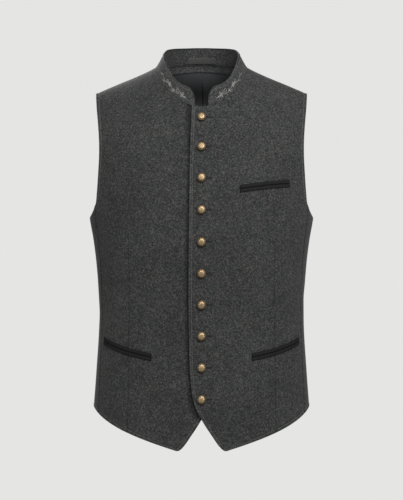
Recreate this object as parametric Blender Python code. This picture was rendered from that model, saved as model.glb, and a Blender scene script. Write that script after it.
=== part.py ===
"""A buttoned folk vest with a standing collar, hollow as it hangs on a wearer.

Metres, +Z up, the front faces -Y and the wearer's left is +X. The origin lies midway
between the two neck points of the shoulder seams, where the vest rests on the shoulders.
"""

import math

import bpy
import numpy as np
from mathutils import Vector
from mathutils.bvhtree import BVHTree

# Cloth thicknesses and the gap that sewn pieces keep
WOOL = 0.0020
LINING = 0.0010
FACING = 0.0010
COLLAR = 0.0024
SEAM_GAP = 0.0003

# The torso form. Its rings are superellipses, closed towards the shoulder ridge
RING_POWER = 2.2
RING_COLUMNS = ("height", "half_width", "front", "back")
RINGS = (
    (-0.700, 0.1970, 0.1245, 0.1160),
    (-0.600, 0.1890, 0.1200, 0.1095),
    (-0.530, 0.1837, 0.1160, 0.1000),
    (-0.434, 0.1786, 0.1135, 0.0930),
    (-0.350, 0.1828, 0.1200, 0.1040),
    (-0.300, 0.1888, 0.1255, 0.1140),
    (-0.2625, 0.1951, 0.1270, 0.1200),
    (-0.200, 0.1975, 0.1235, 0.1230),
    (-0.130, 0.2010, 0.1070, 0.1210),
    (-0.073, 0.2050, 0.0870, 0.1180),
    (0.000, 0.2090, 0.0650, 0.1130),
    (0.060, 0.2100, 0.0500, 0.1080),
)

# The shoulder ridge seen from the front: distance from the middle, height
RIDGE_COLUMNS = ("x", "height")
RIDGE = (
    (0.0000, 0.0400),
    (0.0200, 0.0375),
    (0.0400, 0.0290),
    (0.0600, 0.0155),
    (0.0810, 0.0000),
    (0.1094, -0.0140),
    (0.1444, -0.0285),
    (0.1846, -0.0455),
)
SHOULDER_TIP = RIDGE[-1][0]
ROLL = 0.100  # how far below the ridge the cloth reaches its full depth

# Neckline, an ellipse seen from the front
NECK_HALF_WIDTH = 0.0810
NECK_FRONT_DROP = 0.0755
NECK_BACK_RISE = 0.0140
NECK_FRONT_POWER = 1.43
NECK_BACK_POWER = 2.0

# Front edge of one front, seen from the front: height, distance from the middle.
# A negative distance lies past the middle, under or over the other front.
EDGE_COLUMNS = ("height", "x")
EDGE = (
    (-0.6565, 0.0378),
    (-0.6450, 0.0275),
    (-0.6310, 0.0180),
    (-0.6170, 0.0085),
    (-0.6030, 0.0000),
    (-0.5900, -0.0075),
    (-0.5690, -0.0145),
    (-0.5350, -0.0188),
    (-0.4900, -0.0210),
    (-0.2400, -0.0210),
    (-0.1400, -0.0192),
    (-0.0730, -0.0167),
)
EDGE_TOP_TURN = 11.8  # degrees round the neckline, past the middle, where the edge meets it
LIFT = WOOL + 2 * SEAM_GAP  # how far the left front stands over the right one
LIFT_FULL_X = 0.024
LIFT_NONE_X = 0.050

# Hem, side seam and dart, as degrees round the form from the middle of the front
HEM_COLUMNS = ("turn", "height")
HEM = (
    (11.7, -0.6565),
    (41.0, -0.6278),
    (70.0, -0.5997),
    (80.0, -0.5925),
    (90.0, -0.5895),
    (105.0, -0.5905),
    (130.0, -0.5980),
    (160.0, -0.6045),
    (180.0, -0.6050),
)
HEM_TIP_HEIGHT = HEM[0][1]
SEAM_COLUMNS = ("height", "side_turn", "dart_turn")
SEAM = (
    (-0.660, 70.0, 41.0),
    (-0.590, 70.5, 41.5),
    (-0.434, 74.0, 44.0),
    (-0.300, 70.0, 41.5),
    (-0.240, 68.4, 40.0),
)
UNDERARM = -0.2400  # height where the side seam meets the armhole
SIDE_HEM = -0.6005  # and where it meets the hem
DART_TOP = -0.2850
DART_SHOULDER_SHARE = 0.37  # share of the shoulder seam where the dart's line would meet it
DART_DEPTH = 0.0008
DART_SHARE_WIDTH = 0.017  # from the dart to the columns beside it, as a share of the front

# Armholes: height, distance from the middle
ARMHOLE_COLUMNS = ("height", "front", "back")
ARMHOLE = (
    (-0.2400, 0.1815, 0.1822),
    (-0.2120, 0.1790, 0.1808),
    (-0.1850, 0.1772, 0.1800),
    (-0.1570, 0.1758, 0.1800),
    (-0.1300, 0.1762, 0.1808),
    (-0.1015, 0.1785, 0.1825),
    (-0.0727, 0.1818, 0.1845),
    (-0.0580, 0.1832, 0.1852),
    (-0.0455, 0.1846, 0.1846),
)
# The bottom of the armhole, which the back panel carries: degrees round the form, height
SCYE_COLUMNS = ("turn", "height")
SCYE = (
    (68.4, -0.2400),
    (71.0, -0.2480),
    (75.5, -0.2555),
    (81.0, -0.2600),
    (89.0, -0.2625),
    (97.0, -0.2610),
    (104.0, -0.2560),
    (111.0, -0.2440),
    (126.0, -0.2400),
    (180.0, -0.2400),
)
BACK_ARM_TURN = 111.0  # where the armhole leaves the underarm and climbs the back

# Standing collar: degrees round the neck from the middle of the back, rise, lean inwards
COLLAR_COLUMNS = ("turn", "rise", "lean")
COLLAR_SHAPE = (
    (0.0, 0.0292, 0.0085),
    (20.0, 0.0300, 0.0090),
    (45.0, 0.0320, 0.0105),
    (62.0, 0.0318, 0.0125),
    (78.0, 0.0280, 0.0145),
    (90.0, 0.0258, 0.0150),
    (115.0, 0.0252, 0.0150),
    (140.0, 0.0258, 0.0110),
    (171.6, 0.0325, 0.0050),
)
COLLAR_END_TURN = 8.4  # degrees from the middle of the front where the collar ends
COLLAR_END_ROUND = 0.0165
COLLAR_FLARE = 0.0050  # length over which the collar bends up from the shoulders
COLLAR_ROWS = 5
COLLAR_END_COLUMNS = (0.12, 0.25, 0.40, 0.60, 0.80)  # extra columns that round its ends
NECK_AXIS_Y = -0.0050

# Inside the neck
FACING_ROWS = 2
TAPE_HALF_WIDTH = 0.0280
TAPE_SPAN = (0.22, 0.61)  # shares of the collar's height
TAPE_CELLS = 8
TAPE = 0.0010
PLEAT_DEPTH = 0.0012
PLEAT_TOP = -0.0050  # heights between which the pleat opens
PLEAT_OPEN = -0.0250

# Pockets of two lips over a slit: side, then distance from the middle and height of
# the slit's inner and outer end
POCKETS = {
    "chest_welt": (1, 0.0640, -0.2160, 0.1485, -0.2058),
    "hip_welt_left": (1, 0.0845, -0.4990, 0.1665, -0.4745),
    "hip_welt_right": (-1, 0.0845, -0.4990, 0.1665, -0.4745),
}
LIP_HEIGHT = 0.0049
LIP_SLIT = 0.0006
LIP_CELLS = 12
# Cross-section of a lip, from the slit outwards: share of its height, share of its thickness
LIP_THICKNESS = 0.0015
LIP_SECTION = ((0.0, 0.60), (0.25, 0.95), (0.60, 1.0), (1.0, 0.55))
REST_GAP = 0.0004  # what lies on a panel clears its facets by this

# Buttons, equally spaced along the middle of the front
BUTTONS = 10
BUTTON_TOP = -0.0958
BUTTON_BOTTOM = -0.5693
BUTTON_RADIUS = 0.0080
# Profile of a button: share of its radius, height over the cloth
BUTTON_PROFILE = (
    (0.38, 0.0000),
    (0.42, 0.0014),
    (0.90, 0.0017),
    (1.00, 0.0024),
    (0.93, 0.0036),
    (0.70, 0.0053),
    (0.38, 0.0063),
)
BUTTON_CROWN = 0.0067
BUTTON_SIDES = 14

# Mesh density of the panels
ROWS_BELOW = 12
ROWS_ABOVE = 11
TOP_CROWDING = 1.9  # rows crowd towards the ridge, where the cloth bends most
NECK_CELLS = 7  # cells of a front's neckline between the collar's end and the shoulder
EDGE_CELLS = 2  # and between the collar's end and the front edge
BACK_NECK_CELLS = 6
SHOULDER_CELLS = 4
SIDE_CELLS = 5
# Places of the columns: share of a front's width where its neckline ends, and its dart
NECK_SHARE = 0.50
DART_SHARE = 0.68
EDGE_SHARE = 0.25  # share of a front's width over which its columns follow the edge
# The same for half the back, whose side reaches past the armhole to the side seam
BACK_NECK_SHARE = 0.45
BACK_SIDE_SHARE = 1.40

# Colours (linear RGB), roughness and metallic value
FINISHES = {
    "wool": ((0.052, 0.053, 0.053), 0.95, 0.0),
    "lining": ((0.020, 0.021, 0.023), 0.55, 0.0),
    "trim": ((0.011, 0.012, 0.011), 0.80, 0.0),
    "brass": ((0.330, 0.220, 0.105), 0.38, 1.0),
}


def column(table, columns, name):
    """One named column of a table."""
    return np.array([row[columns.index(name)] for row in table], float)


def smooth(at, knots, values):
    """A smooth curve through the knots: cubic Hermite pieces with averaged slopes."""
    knots = np.asarray(knots, float)
    values = np.asarray(values, float)
    steps = np.diff(values) / np.diff(knots)
    slopes = np.concatenate([[steps[0]], (steps[:-1] + steps[1:]) / 2, [steps[-1]]])
    at = np.clip(np.asarray(at, float), knots[0], knots[-1])
    i = np.clip(np.searchsorted(knots, at) - 1, 0, len(knots) - 2)
    width = knots[i + 1] - knots[i]
    t = (at - knots[i]) / width
    return (
        values[i] * (1 + 2 * t) * (1 - t) ** 2
        + slopes[i] * width * t * (1 - t) ** 2
        + values[i + 1] * t * t * (3 - 2 * t)
        - slopes[i + 1] * width * t * t * (1 - t)
    )


def from_table(table, columns, key, name, at):
    """A named column of a table as a smooth function of its key column."""
    return smooth(at, column(table, columns, key), column(table, columns, name))


def half_width(height):
    return from_table(RINGS, RING_COLUMNS, "height", "half_width", height)


def ridge(x):
    return from_table(RIDGE, RIDGE_COLUMNS, "x", "height", np.abs(x))


def depth_squared(x, height, side):
    """Square of the form's depth: the ring's, shrunk to nothing at the shoulder ridge."""
    face = "front" if side < 0 else "back"
    ring = from_table(RINGS, RING_COLUMNS, "height", face, height)
    across = np.clip(np.abs(x) / half_width(height), 0, 1)
    below = np.clip((ridge(x) - height) / ROLL, 0, 1)
    reach = (1 - across**RING_POWER) ** (2 / RING_POWER)
    return ring**2 * reach * (2 * below - below**2)


def form(x, height, side):
    """Points and outward normals of the form. side is -1 on the front and 1 on the back."""
    x, height = np.broadcast_arrays(np.asarray(x, float), np.asarray(height, float))
    depth = np.sqrt(np.maximum(depth_squared(x, height, side), 0))
    step = 1e-4
    slope_x = depth_squared(x + step, height, side) - depth_squared(x - step, height, side)
    slope_z = depth_squared(x, height + step, side) - depth_squared(x, height - step, side)
    normal = np.stack([-slope_x, 4 * step * depth * side, -slope_z], -1)
    return np.stack([x, side * depth, height], -1), unit(normal)


def turn_of(x, height):
    """Degrees round the form, from the middle, of a distance x."""
    return np.degrees(np.arcsin(np.clip(x / half_width(height), -1, 1)))


def x_of(turn, height):
    return half_width(height) * np.sin(np.radians(turn))


def unit(vectors):
    return vectors / np.linalg.norm(vectors, axis=-1, keepdims=True)


def run_length(points):
    """Distance along a line of points, from its start to each point."""
    steps = np.linalg.norm(np.diff(points, axis=0), axis=1)
    return np.concatenate([[0], np.cumsum(steps)])


def resample(at, length, points):
    """Points on a line at the given distances along it."""
    return np.stack([np.interp(at, length, part) for part in points.T], -1)


def blend(value, start, end):
    """0 at start, 1 at end, and smooth between them."""
    t = np.clip((np.asarray(value, float) - start) / (end - start), 0, 1)
    return t * t * (3 - 2 * t)


def lift_of(x):
    """How far the left front stands off the form to lie over the right one."""
    return LIFT * blend(x, LIFT_NONE_X, LIFT_FULL_X)


def front_neckline(turn):
    """x and height of the front neckline, in degrees from its middle."""
    angle = np.radians(turn)
    x = NECK_HALF_WIDTH * np.sin(angle)
    return x, -NECK_FRONT_DROP * np.cos(angle) ** NECK_FRONT_POWER


def back_neckline(turn):
    angle = np.radians(turn)
    x = NECK_HALF_WIDTH * np.sin(angle)
    return x, NECK_BACK_RISE * np.cos(angle) ** NECK_BACK_POWER


def hem(turn):
    return from_table(HEM, HEM_COLUMNS, "turn", "height", turn)


def rows():
    """Row shares below the underarm, then above it."""
    below = np.linspace(0, 1, ROWS_BELOW + 1)
    above = 1 - (1 - np.linspace(0, 1, ROWS_ABOVE + 1)) ** TOP_CROWDING
    return below, above[1:]


def front_columns():
    """Column shares of a front, with three close together for the dart."""
    inner = np.linspace(0, NECK_SHARE, EDGE_CELLS + NECK_CELLS + 1)
    outer = np.linspace(NECK_SHARE, DART_SHARE, SHOULDER_CELLS)[1:-1]
    side = np.linspace(DART_SHARE, 1, SIDE_CELLS + 1)[1:]
    fold = DART_SHARE + np.array([-1, 0, 1]) * DART_SHARE_WIDTH
    return np.concatenate([inner, outer, fold, side])


def neck_turns():
    """Degrees round the front neckline of a front's columns, the collar's end among them."""
    free = np.linspace(-EDGE_TOP_TURN, COLLAR_END_TURN, EDGE_CELLS + 1)[:-1]
    return np.concatenate([free, np.linspace(COLLAR_END_TURN, 90.0, NECK_CELLS + 1)])


def front_grid(shares):
    """x and height of a left front's points, hem to shoulder, front edge to side."""
    below, above = rows()
    x, height = [], []
    knots = [0, DART_SHARE, 1]

    def turns(edge_height, side_height):
        edge = turn_of(from_table(EDGE, EDGE_COLUMNS, "height", "x", edge_height), edge_height)
        dart = from_table(SEAM, SEAM_COLUMNS, "height", "dart_turn", side_height)
        side = from_table(SEAM, SEAM_COLUMNS, "height", "side_turn", side_height)
        return np.interp(shares, knots, [float(edge), float(dart), float(side)])

    bottom = hem(turns(HEM_TIP_HEIGHT, SIDE_HEM))
    for share in below:
        z = bottom + (UNDERARM - bottom) * share
        x.append(x_of(turns(z[0], z[-1]), z))
        height.append(z)

    start = x[-1]
    neck_shares = np.linspace(0, NECK_SHARE, EDGE_CELLS + NECK_CELLS + 1)
    neck_x, neck_height = front_neckline(np.interp(shares, neck_shares, neck_turns()))
    dart_x = NECK_HALF_WIDTH + DART_SHOULDER_SHARE * (SHOULDER_TIP - NECK_HALF_WIDTH)
    shoulder_x = np.interp(
        shares, [NECK_SHARE, DART_SHARE, 1], [NECK_HALF_WIDTH, dart_x, SHOULDER_TIP]
    )
    top_x = np.where(shares <= NECK_SHARE, neck_x, shoulder_x)
    top = np.where(shares <= NECK_SHARE, neck_height, ridge(top_x))
    toward_arm = blend(shares, NECK_SHARE, 1)
    toward_edge = blend(shares, EDGE_SHARE, 0)
    for share in above:
        z = UNDERARM + (top - UNDERARM) * share
        straight = start + (top_x - start) * share
        arm = from_table(ARMHOLE, ARMHOLE_COLUMNS, "height", "front", z[-1])
        edge = from_table(EDGE, EDGE_COLUMNS, "height", "x", z[0])
        x.append(
            straight
            + toward_arm * (arm - straight[-1])
            + toward_edge * (edge - straight[0])
        )
        height.append(z)
    return np.array(x), np.array(height)


def back_grid():
    """x, height and kept cells of the whole back, from the right side seam to the left."""
    below, above = rows()
    main = np.concatenate(
        [
            np.linspace(0, BACK_NECK_SHARE, BACK_NECK_CELLS + 1),
            np.linspace(BACK_NECK_SHARE, 1, SHOULDER_CELLS + 1)[1:],
        ]
    )
    shares = np.concatenate([main, np.linspace(1, BACK_SIDE_SHARE, SIDE_CELLS + 1)[1:]])
    x, height = [], []

    def turns(side_height):
        side = float(from_table(SEAM, SEAM_COLUMNS, "height", "side_turn", side_height))
        return np.interp(shares, [0, 1, BACK_SIDE_SHARE], [180.0, BACK_ARM_TURN, side])

    bottom = hem(turns(SIDE_HEM))
    underarm = from_table(SCYE, SCYE_COLUMNS, "turn", "height", turns(UNDERARM))
    for share in below:
        z = bottom + (underarm - bottom) * share
        x.append(x_of(turns(z[-1]), z))
        height.append(z)

    start = x[-1]
    neck = np.interp(shares, [0, BACK_NECK_SHARE], [0.0, 90.0])
    neck_x, neck_height = back_neckline(neck)
    shoulder_x = np.interp(shares, [BACK_NECK_SHARE, 1], [NECK_HALF_WIDTH, SHOULDER_TIP])
    top_x = np.where(shares <= BACK_NECK_SHARE, neck_x, shoulder_x)
    top = np.where(shares <= BACK_NECK_SHARE, neck_height, ridge(top_x))
    toward_arm = blend(shares, BACK_NECK_SHARE, 1)
    arm_column = len(main) - 1
    for share in above:
        z = underarm + (top - underarm) * share
        straight = start + (top_x - start) * share
        arm = from_table(ARMHOLE, ARMHOLE_COLUMNS, "height", "back", z[arm_column])
        x.append(straight + toward_arm * (arm - straight[arm_column]))
        height.append(z)

    x, height = np.array(x), np.array(height)
    keep = np.ones((len(x) - 1, len(shares) - 1), bool)
    keep[ROWS_BELOW:, arm_column:] = False
    turn = np.broadcast_to(turns(UNDERARM), x.shape)
    whole = [
        np.concatenate([part[:, :0:-1] * sign, part], axis=1)
        for part, sign in ((x, -1), (height, 1), (turn, 1))
    ]
    return *whole, np.concatenate([keep[:, ::-1], keep], axis=1)


def back_points(x, height, turn):
    """Points and normals of the back panel, whose side parts reach round to the front."""
    behind, behind_normal = form(x, height, 1)
    before, before_normal = form(x, height, -1)
    is_before = (turn < 90.0)[..., None]
    return (
        np.where(is_before, before, behind),
        np.where(is_before, before_normal, behind_normal),
    )


def wall(outer, inner, keep=None):
    """Points and triangles of a closed wall between two grids, over the kept cells.

    Both faces of the wall split their cells along the same diagonal, so layers that are
    made from one grid stay parallel.
    """
    height, width = outer.shape[:2]
    if keep is None:
        keep = np.ones((height - 1, width - 1), bool)
    index = np.arange(height * width).reshape(height, width)
    row, cell = np.nonzero(keep)
    low, low_next = index[row, cell], index[row, cell + 1]
    high, high_next = index[row + 1, cell], index[row + 1, cell + 1]
    split = cell < (width - 1) / 2
    front = np.concatenate(
        [
            np.stack([low, low_next, np.where(split, high_next, high)], -1),
            np.stack([np.where(split, low, low_next), high_next, high], -1),
        ]
    )
    shift = height * width
    edges = np.concatenate([front[:, [i, (i + 1) % 3]] for i in range(3)]).tolist()
    known = {tuple(edge) for edge in edges}
    rim = [(a, b) for a, b in edges if (b, a) not in known]
    sides = [(b, a, a + shift) for a, b in rim] + [(b, a + shift, b + shift) for a, b in rim]
    faces = np.concatenate([front, front[:, ::-1] + shift, np.array(sides)])
    points = np.concatenate([outer.reshape(-1, 3), inner.reshape(-1, 3)])
    used, faces = np.unique(faces, return_inverse=True)
    return points[used], faces.reshape(-1, 3)


def finish_of(name):
    """The material of that name, made once."""
    material = bpy.data.materials.get(name)
    if material is None:
        colour, roughness, metallic = FINISHES[name]
        material = bpy.data.materials.new(name)
        material.use_nodes = True
        surface = material.node_tree.nodes["Principled BSDF"]
        surface.inputs["Base Color"].default_value = (*colour, 1.0)
        surface.inputs["Roughness"].default_value = roughness
        surface.inputs["Metallic"].default_value = metallic
    return material


def make_node(name, points, faces, finish, sharp_degrees=40.0):
    """One named object, shaded smooth where it is round."""
    mesh = bpy.data.meshes.new(name)
    mesh.from_pydata(np.asarray(points, float).tolist(), [], [list(face) for face in faces])
    mesh.validate()
    mesh.shade_smooth()
    mesh.set_sharp_from_angle(angle=math.radians(sharp_degrees))
    mesh.materials.append(finish_of(finish))
    node = bpy.data.objects.new(name, mesh)
    bpy.context.scene.collection.objects.link(node)
    return node


def split_ridge(points, side):
    """Points whose top row is moved off the shoulder seam by half the gap."""
    moved = points.copy()
    on_ridge = np.abs(points[-1, :, 1]) < SEAM_GAP
    moved[-1, :, 1] = np.where(on_ridge, side * SEAM_GAP / 2, points[-1, :, 1])
    return moved


def split_side(points, edge, beside):
    """Moves a panel's side seam back from the other panel by half the gap."""
    lower = slice(0, ROWS_BELOW + 1)
    points[lower, edge] += unit(points[lower, beside] - points[lower, edge]) * SEAM_GAP / 2


def front_layers(side):
    """Grids of one front: its face before the dart is sunk, its normals, height and shares.

    The left front, side 1, is lifted to lie over the right one.
    """
    shares = front_columns()
    x, height = front_grid(shares)
    points, normals = form(x, height, -1)
    points = split_ridge(points, -1)
    if side > 0:
        points = points + normals * lift_of(x)[..., None]
    return points, normals, height, shares


def make_front(name, side):
    """One front, a wall of cloth with its dart sunk as a shallow groove."""
    face, normals, height, shares = front_layers(side)
    groove = DART_DEPTH * np.isclose(shares, DART_SHARE) * (height < DART_TOP)
    outer = face - normals * groove[..., None]
    inner = face - normals * WOOL
    for layer in (outer, inner):
        split_side(layer, -1, -2)
    if side < 0:
        outer, inner = outer[:, ::-1] * (-1, 1, 1), inner[:, ::-1] * (-1, 1, 1)
    make_node(name, *wall(outer, inner), "wool")


def back_layers():
    """Grids of the back's face, its normals and its kept cells, right side to left."""
    x, height, turn, keep = back_grid()
    points, normals = back_points(x, height, turn)
    return split_ridge(points, 1), normals, keep


def make_back():
    """The back's two halves, their lining with a centre pleat, and the facing in the neck.

    The halves meet at a seam down the middle, where each keeps off it by half the gap.
    """
    face, normals, keep = back_layers()
    middle = face.shape[1] // 2

    def layer(depth, half=0):
        moved = face - normals * np.broadcast_to(depth, face.shape[:2])[..., None]
        split_side(moved, 0, 1)
        split_side(moved, -1, -2)
        moved[:, middle, 0] += half * SEAM_GAP / 2
        return moved[:, ::-1]

    on_left = np.arange(keep.shape[1]) >= middle
    for name, half, own in (("back_left", 1, on_left), ("back_right", -1, ~on_left)):
        cells = (keep & own)[:, ::-1]
        make_node(name, *wall(layer(0, half), layer(WOOL, half), cells), "wool")

    lining_out = WOOL + SEAM_GAP
    lining_in = lining_out + LINING
    in_middle = np.arange(face.shape[1]) == middle
    pleat = PLEAT_DEPTH * blend(face[..., 2], PLEAT_TOP, PLEAT_OPEN) * in_middle
    make_node(
        "back_lining", *wall(layer(lining_out), layer(lining_in + pleat), keep[:, ::-1]), "lining"
    )
    strip = np.zeros_like(keep)
    strip[-FACING_ROWS:, middle - BACK_NECK_CELLS : middle + BACK_NECK_CELLS] = True
    strip_out = lining_in + SEAM_GAP
    make_node(
        "neck_facing", *wall(layer(strip_out), layer(strip_out + FACING), strip[:, ::-1]), "wool"
    )


def collar_base():
    """The neckline seam from the right front round the back to the left front.

    Each column gives the edge point, the cloth's normal and the direction in the cloth
    that leaves the edge, with the turn from the middle of the back.
    """
    turns = neck_turns()[EDGE_CELLS:]
    sides = []
    for side in (-1, 1):
        face, normals = front_layers(side)[:2]
        columns = slice(EDGE_CELLS, EDGE_CELLS + len(turns))
        edge, normal = face[-1, columns], normals[-1, columns]
        mirror = np.array((side, 1, 1))
        sides.append((edge * mirror, normal * mirror, (180.0 - turns) * side))
    face, normals, _ = back_layers()
    middle = face.shape[1] // 2
    inside = slice(middle - BACK_NECK_CELLS + 1, middle + BACK_NECK_CELLS)
    back_turns = np.linspace(-90, 90, 2 * BACK_NECK_CELLS + 1)[1:-1]
    edge = np.concatenate([sides[0][0], face[-1, inside], sides[1][0][::-1]])
    normal = np.concatenate([sides[0][1], normals[-1, inside], sides[1][1][::-1]])
    turn = np.concatenate([sides[0][2], back_turns, sides[1][2][::-1]])
    leave = unit(np.cross(np.gradient(edge, axis=0), normal))
    return edge, normal, leave, turn


def collar_grid():
    """Outer and inner face of the collar, with each column's distance along the neck."""
    base = collar_base()
    columns = np.arange(len(base[-1]))
    near_end = np.array(COLLAR_END_COLUMNS)
    at = np.sort(np.concatenate([columns, near_end, columns[-1] - near_end]))
    edge, normal, leave = (resample(at, columns, part) for part in base[:3])
    turn = np.interp(at, columns, base[3])
    length = run_length(edge)
    rise = from_table(COLLAR_SHAPE, COLLAR_COLUMNS, "turn", "rise", np.abs(turn))
    lean = from_table(COLLAR_SHAPE, COLLAR_COLUMNS, "turn", "lean", np.abs(turn))
    inward = unit((np.array((0, NECK_AXIS_Y, 0)) - edge) * (1, 1, 0))
    start = edge + leave * SEAM_GAP
    bend = start + leave * COLLAR_FLARE
    top = edge + inward * lean[:, None] + np.outer(rise, (0, 0, 1))
    to_end = np.minimum(length, length[-1] - length)
    corner = np.clip(1 - to_end / COLLAR_END_ROUND, 0, 1)
    cut = COLLAR_END_ROUND * (1 - np.sqrt(1 - corner**2)) / rise
    share = np.linspace(0, 1, COLLAR_ROWS + 1)[:, None, None] * (1 - cut)[None, :, None]
    outer = start * (1 - share) ** 2 + bend * 2 * share * (1 - share) + top * share**2
    across = unit(np.cross(np.gradient(outer, axis=0), np.gradient(outer, axis=1)))
    across[0] = normal
    return outer, outer - across * COLLAR, length


def make_collar():
    """The standing collar and the blank tape on its inside at the middle of the back."""
    outer, inner, length = collar_grid()
    make_node("collar", *wall(outer[:, ::-1], inner[:, ::-1]), "wool")
    middle = length[-1] / 2
    at = np.linspace(middle - TAPE_HALF_WIDTH, middle + TAPE_HALF_WIDTH, TAPE_CELLS + 1)
    rows_up = np.arange(COLLAR_ROWS + 1)
    low, high = (share * COLLAR_ROWS for share in TAPE_SPAN)
    within = rows_up[(rows_up > low) & (rows_up < high)]
    face, away = [], []
    for level in (low, *within, high):
        below = int(level)
        lift = level - below
        line = inner[below] * (1 - lift) + inner[below + 1] * lift
        face.append(resample(at, length, line))
        away.append(unit(resample(at, length, inner[below] - outer[below])))
    face, away = np.array(face), np.array(away)
    near, far = face + away * REST_GAP, face + away * (REST_GAP + TAPE)
    make_node("neck_tape", *wall(near[:, ::-1], far[:, ::-1]), "lining")


def resting_tree(side):
    """A search tree over a front's face, on which pockets and buttons lie."""
    face = front_layers(side)[0]
    if side < 0:
        face = face[:, ::-1] * (-1, 1, 1)
    points, faces = wall(face, face)
    return BVHTree.FromPolygons(points.tolist(), faces.tolist())


def rest_on(tree, x, height):
    """Where a line from the front meets the cloth, and the cloth's normal there."""
    point, normal, _, _ = tree.ray_cast(Vector((x, -1, height)), Vector((0, 1, 0)))
    normal = np.array(normal)
    return np.array(point), normal if normal[1] < 0 else -normal


def make_pocket(name, tree, side, inner_x, inner_height, outer_x, outer_height):
    """Two lips along a line that is straight in the cloth, each rounded in section."""
    x = np.linspace(inner_x, outer_x, LIP_CELLS + 1)
    length = run_length(form(x, inner_height, -1)[0])
    height = inner_height + (outer_height - inner_height) * length / length[-1]
    for part, way in (("upper", 1), ("lower", -1)):
        under, over = [], []
        for share, thick in LIP_SECTION:
            offset = way * (LIP_SLIT / 2 + LIP_HEIGHT * share)
            rests = [rest_on(tree, side * a, b) for a, b in zip(x, height + offset)]
            point, normal = (np.array(part) for part in zip(*rests))
            normal = averaged(normal)
            under.append(point + normal * REST_GAP)
            over.append(point + normal * (REST_GAP + LIP_THICKNESS * thick))
        under, over = np.array(under), np.array(over)
        if way * side < 0:
            under, over = under[::-1], over[::-1]
        make_node(f"{name}_{part}", *wall(over, under), "trim")


def averaged(normals):
    """Normals along a strip, averaged with their neighbours."""
    padded = np.concatenate([normals[:1], normals, normals[-1:]])
    return unit(padded[:-2] + 2 * padded[1:-1] + padded[2:])


def button_heights(tree):
    """Heights of the buttons, at equal steps along the cloth down the middle."""
    height = np.linspace(BUTTON_TOP, BUTTON_BOTTOM, 6 * BUTTONS)
    length = run_length(np.array([rest_on(tree, 0.0, z)[0] for z in height]))
    return np.interp(np.linspace(0, length[-1], BUTTONS), length, height)


def make_button(name, point, normal):
    """A domed metal button on a short foot, turned from its profile about the normal."""
    angle = np.linspace(0, 2 * math.pi, BUTTON_SIDES, endpoint=False)
    side = unit(np.cross(normal, (0.0, 0.0, 1.0)))
    up = np.cross(side, normal)
    around = np.outer(np.cos(angle), side) + np.outer(np.sin(angle), up)
    base = point + normal * SEAM_GAP
    rings = [base + around * BUTTON_RADIUS * r + normal * z for r, z in BUTTON_PROFILE]
    points = np.concatenate([*rings, [base + normal * BUTTON_CROWN]])
    faces = [list(range(BUTTON_SIDES))]
    crown = len(points) - 1
    for k in range(BUTTON_SIDES):
        after = (k + 1) % BUTTON_SIDES
        for ring in range(len(rings) - 1):
            low, high = ring * BUTTON_SIDES, (ring + 1) * BUTTON_SIDES
            faces.append([low + after, low + k, high + k, high + after])
        faces.append([high + after, high + k, crown])
    make_node(name, points, faces, "brass")


def clear_scene():
    for old in list(bpy.data.objects):
        bpy.data.objects.remove(old)


def main():
    clear_scene()
    make_front("front_left", 1)
    make_front("front_right", -1)
    make_back()
    make_collar()
    trees = {side: resting_tree(side) for side in (1, -1)}
    for name, (side, *ends) in POCKETS.items():
        make_pocket(name, trees[side], side, *ends)
    for number, height in enumerate(button_heights(trees[1]), 1):
        make_button(f"button_{number}", *rest_on(trees[1], 0.0, height))


main()
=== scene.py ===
"""Dresses the buttoned folk vest: milled wool panels, lining, collar, pockets, buttons, sewing.

Metres, in the frame's own axes: +Z up, the front faces -Y, the wearer's left is +X and the
origin lies midway between the neck points of the shoulder seams.
"""

import math

import bpy
import numpy as np
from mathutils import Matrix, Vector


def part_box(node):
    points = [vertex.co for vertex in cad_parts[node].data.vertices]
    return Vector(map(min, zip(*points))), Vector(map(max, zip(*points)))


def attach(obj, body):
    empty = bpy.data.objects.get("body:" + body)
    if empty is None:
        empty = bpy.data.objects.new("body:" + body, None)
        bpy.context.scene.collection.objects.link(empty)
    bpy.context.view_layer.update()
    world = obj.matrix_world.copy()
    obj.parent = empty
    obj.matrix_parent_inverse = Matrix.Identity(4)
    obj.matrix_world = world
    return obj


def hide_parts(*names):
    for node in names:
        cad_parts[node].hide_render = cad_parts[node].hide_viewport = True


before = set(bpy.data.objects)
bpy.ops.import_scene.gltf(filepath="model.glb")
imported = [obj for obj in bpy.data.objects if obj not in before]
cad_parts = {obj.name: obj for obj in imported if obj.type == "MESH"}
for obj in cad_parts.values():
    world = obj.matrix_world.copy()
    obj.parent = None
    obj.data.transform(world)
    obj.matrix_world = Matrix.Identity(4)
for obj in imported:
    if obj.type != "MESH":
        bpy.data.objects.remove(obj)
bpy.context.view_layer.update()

bl_info = {
    "name": "Buttoned Folk Vest",
    "version": (1, 0, 0),
    "blender": (4, 5, 0),
    "location": "3D View > Sidebar > Vest",
    "description": "Dresses a hollow folk vest of milled wool and sets up its studio",
    "category": "Object",
}

BODY = "root"

# Cloth thicknesses and the gap that sewn pieces keep
WOOL = 0.0020
LINING = 0.0010
FACING = 0.0010
COLLAR = 0.0024
SEAM_GAP = 0.0003
SEAM_CLOSE = 0.00004  # how far each edge stops short of its seam where two pieces are sewn

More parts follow.
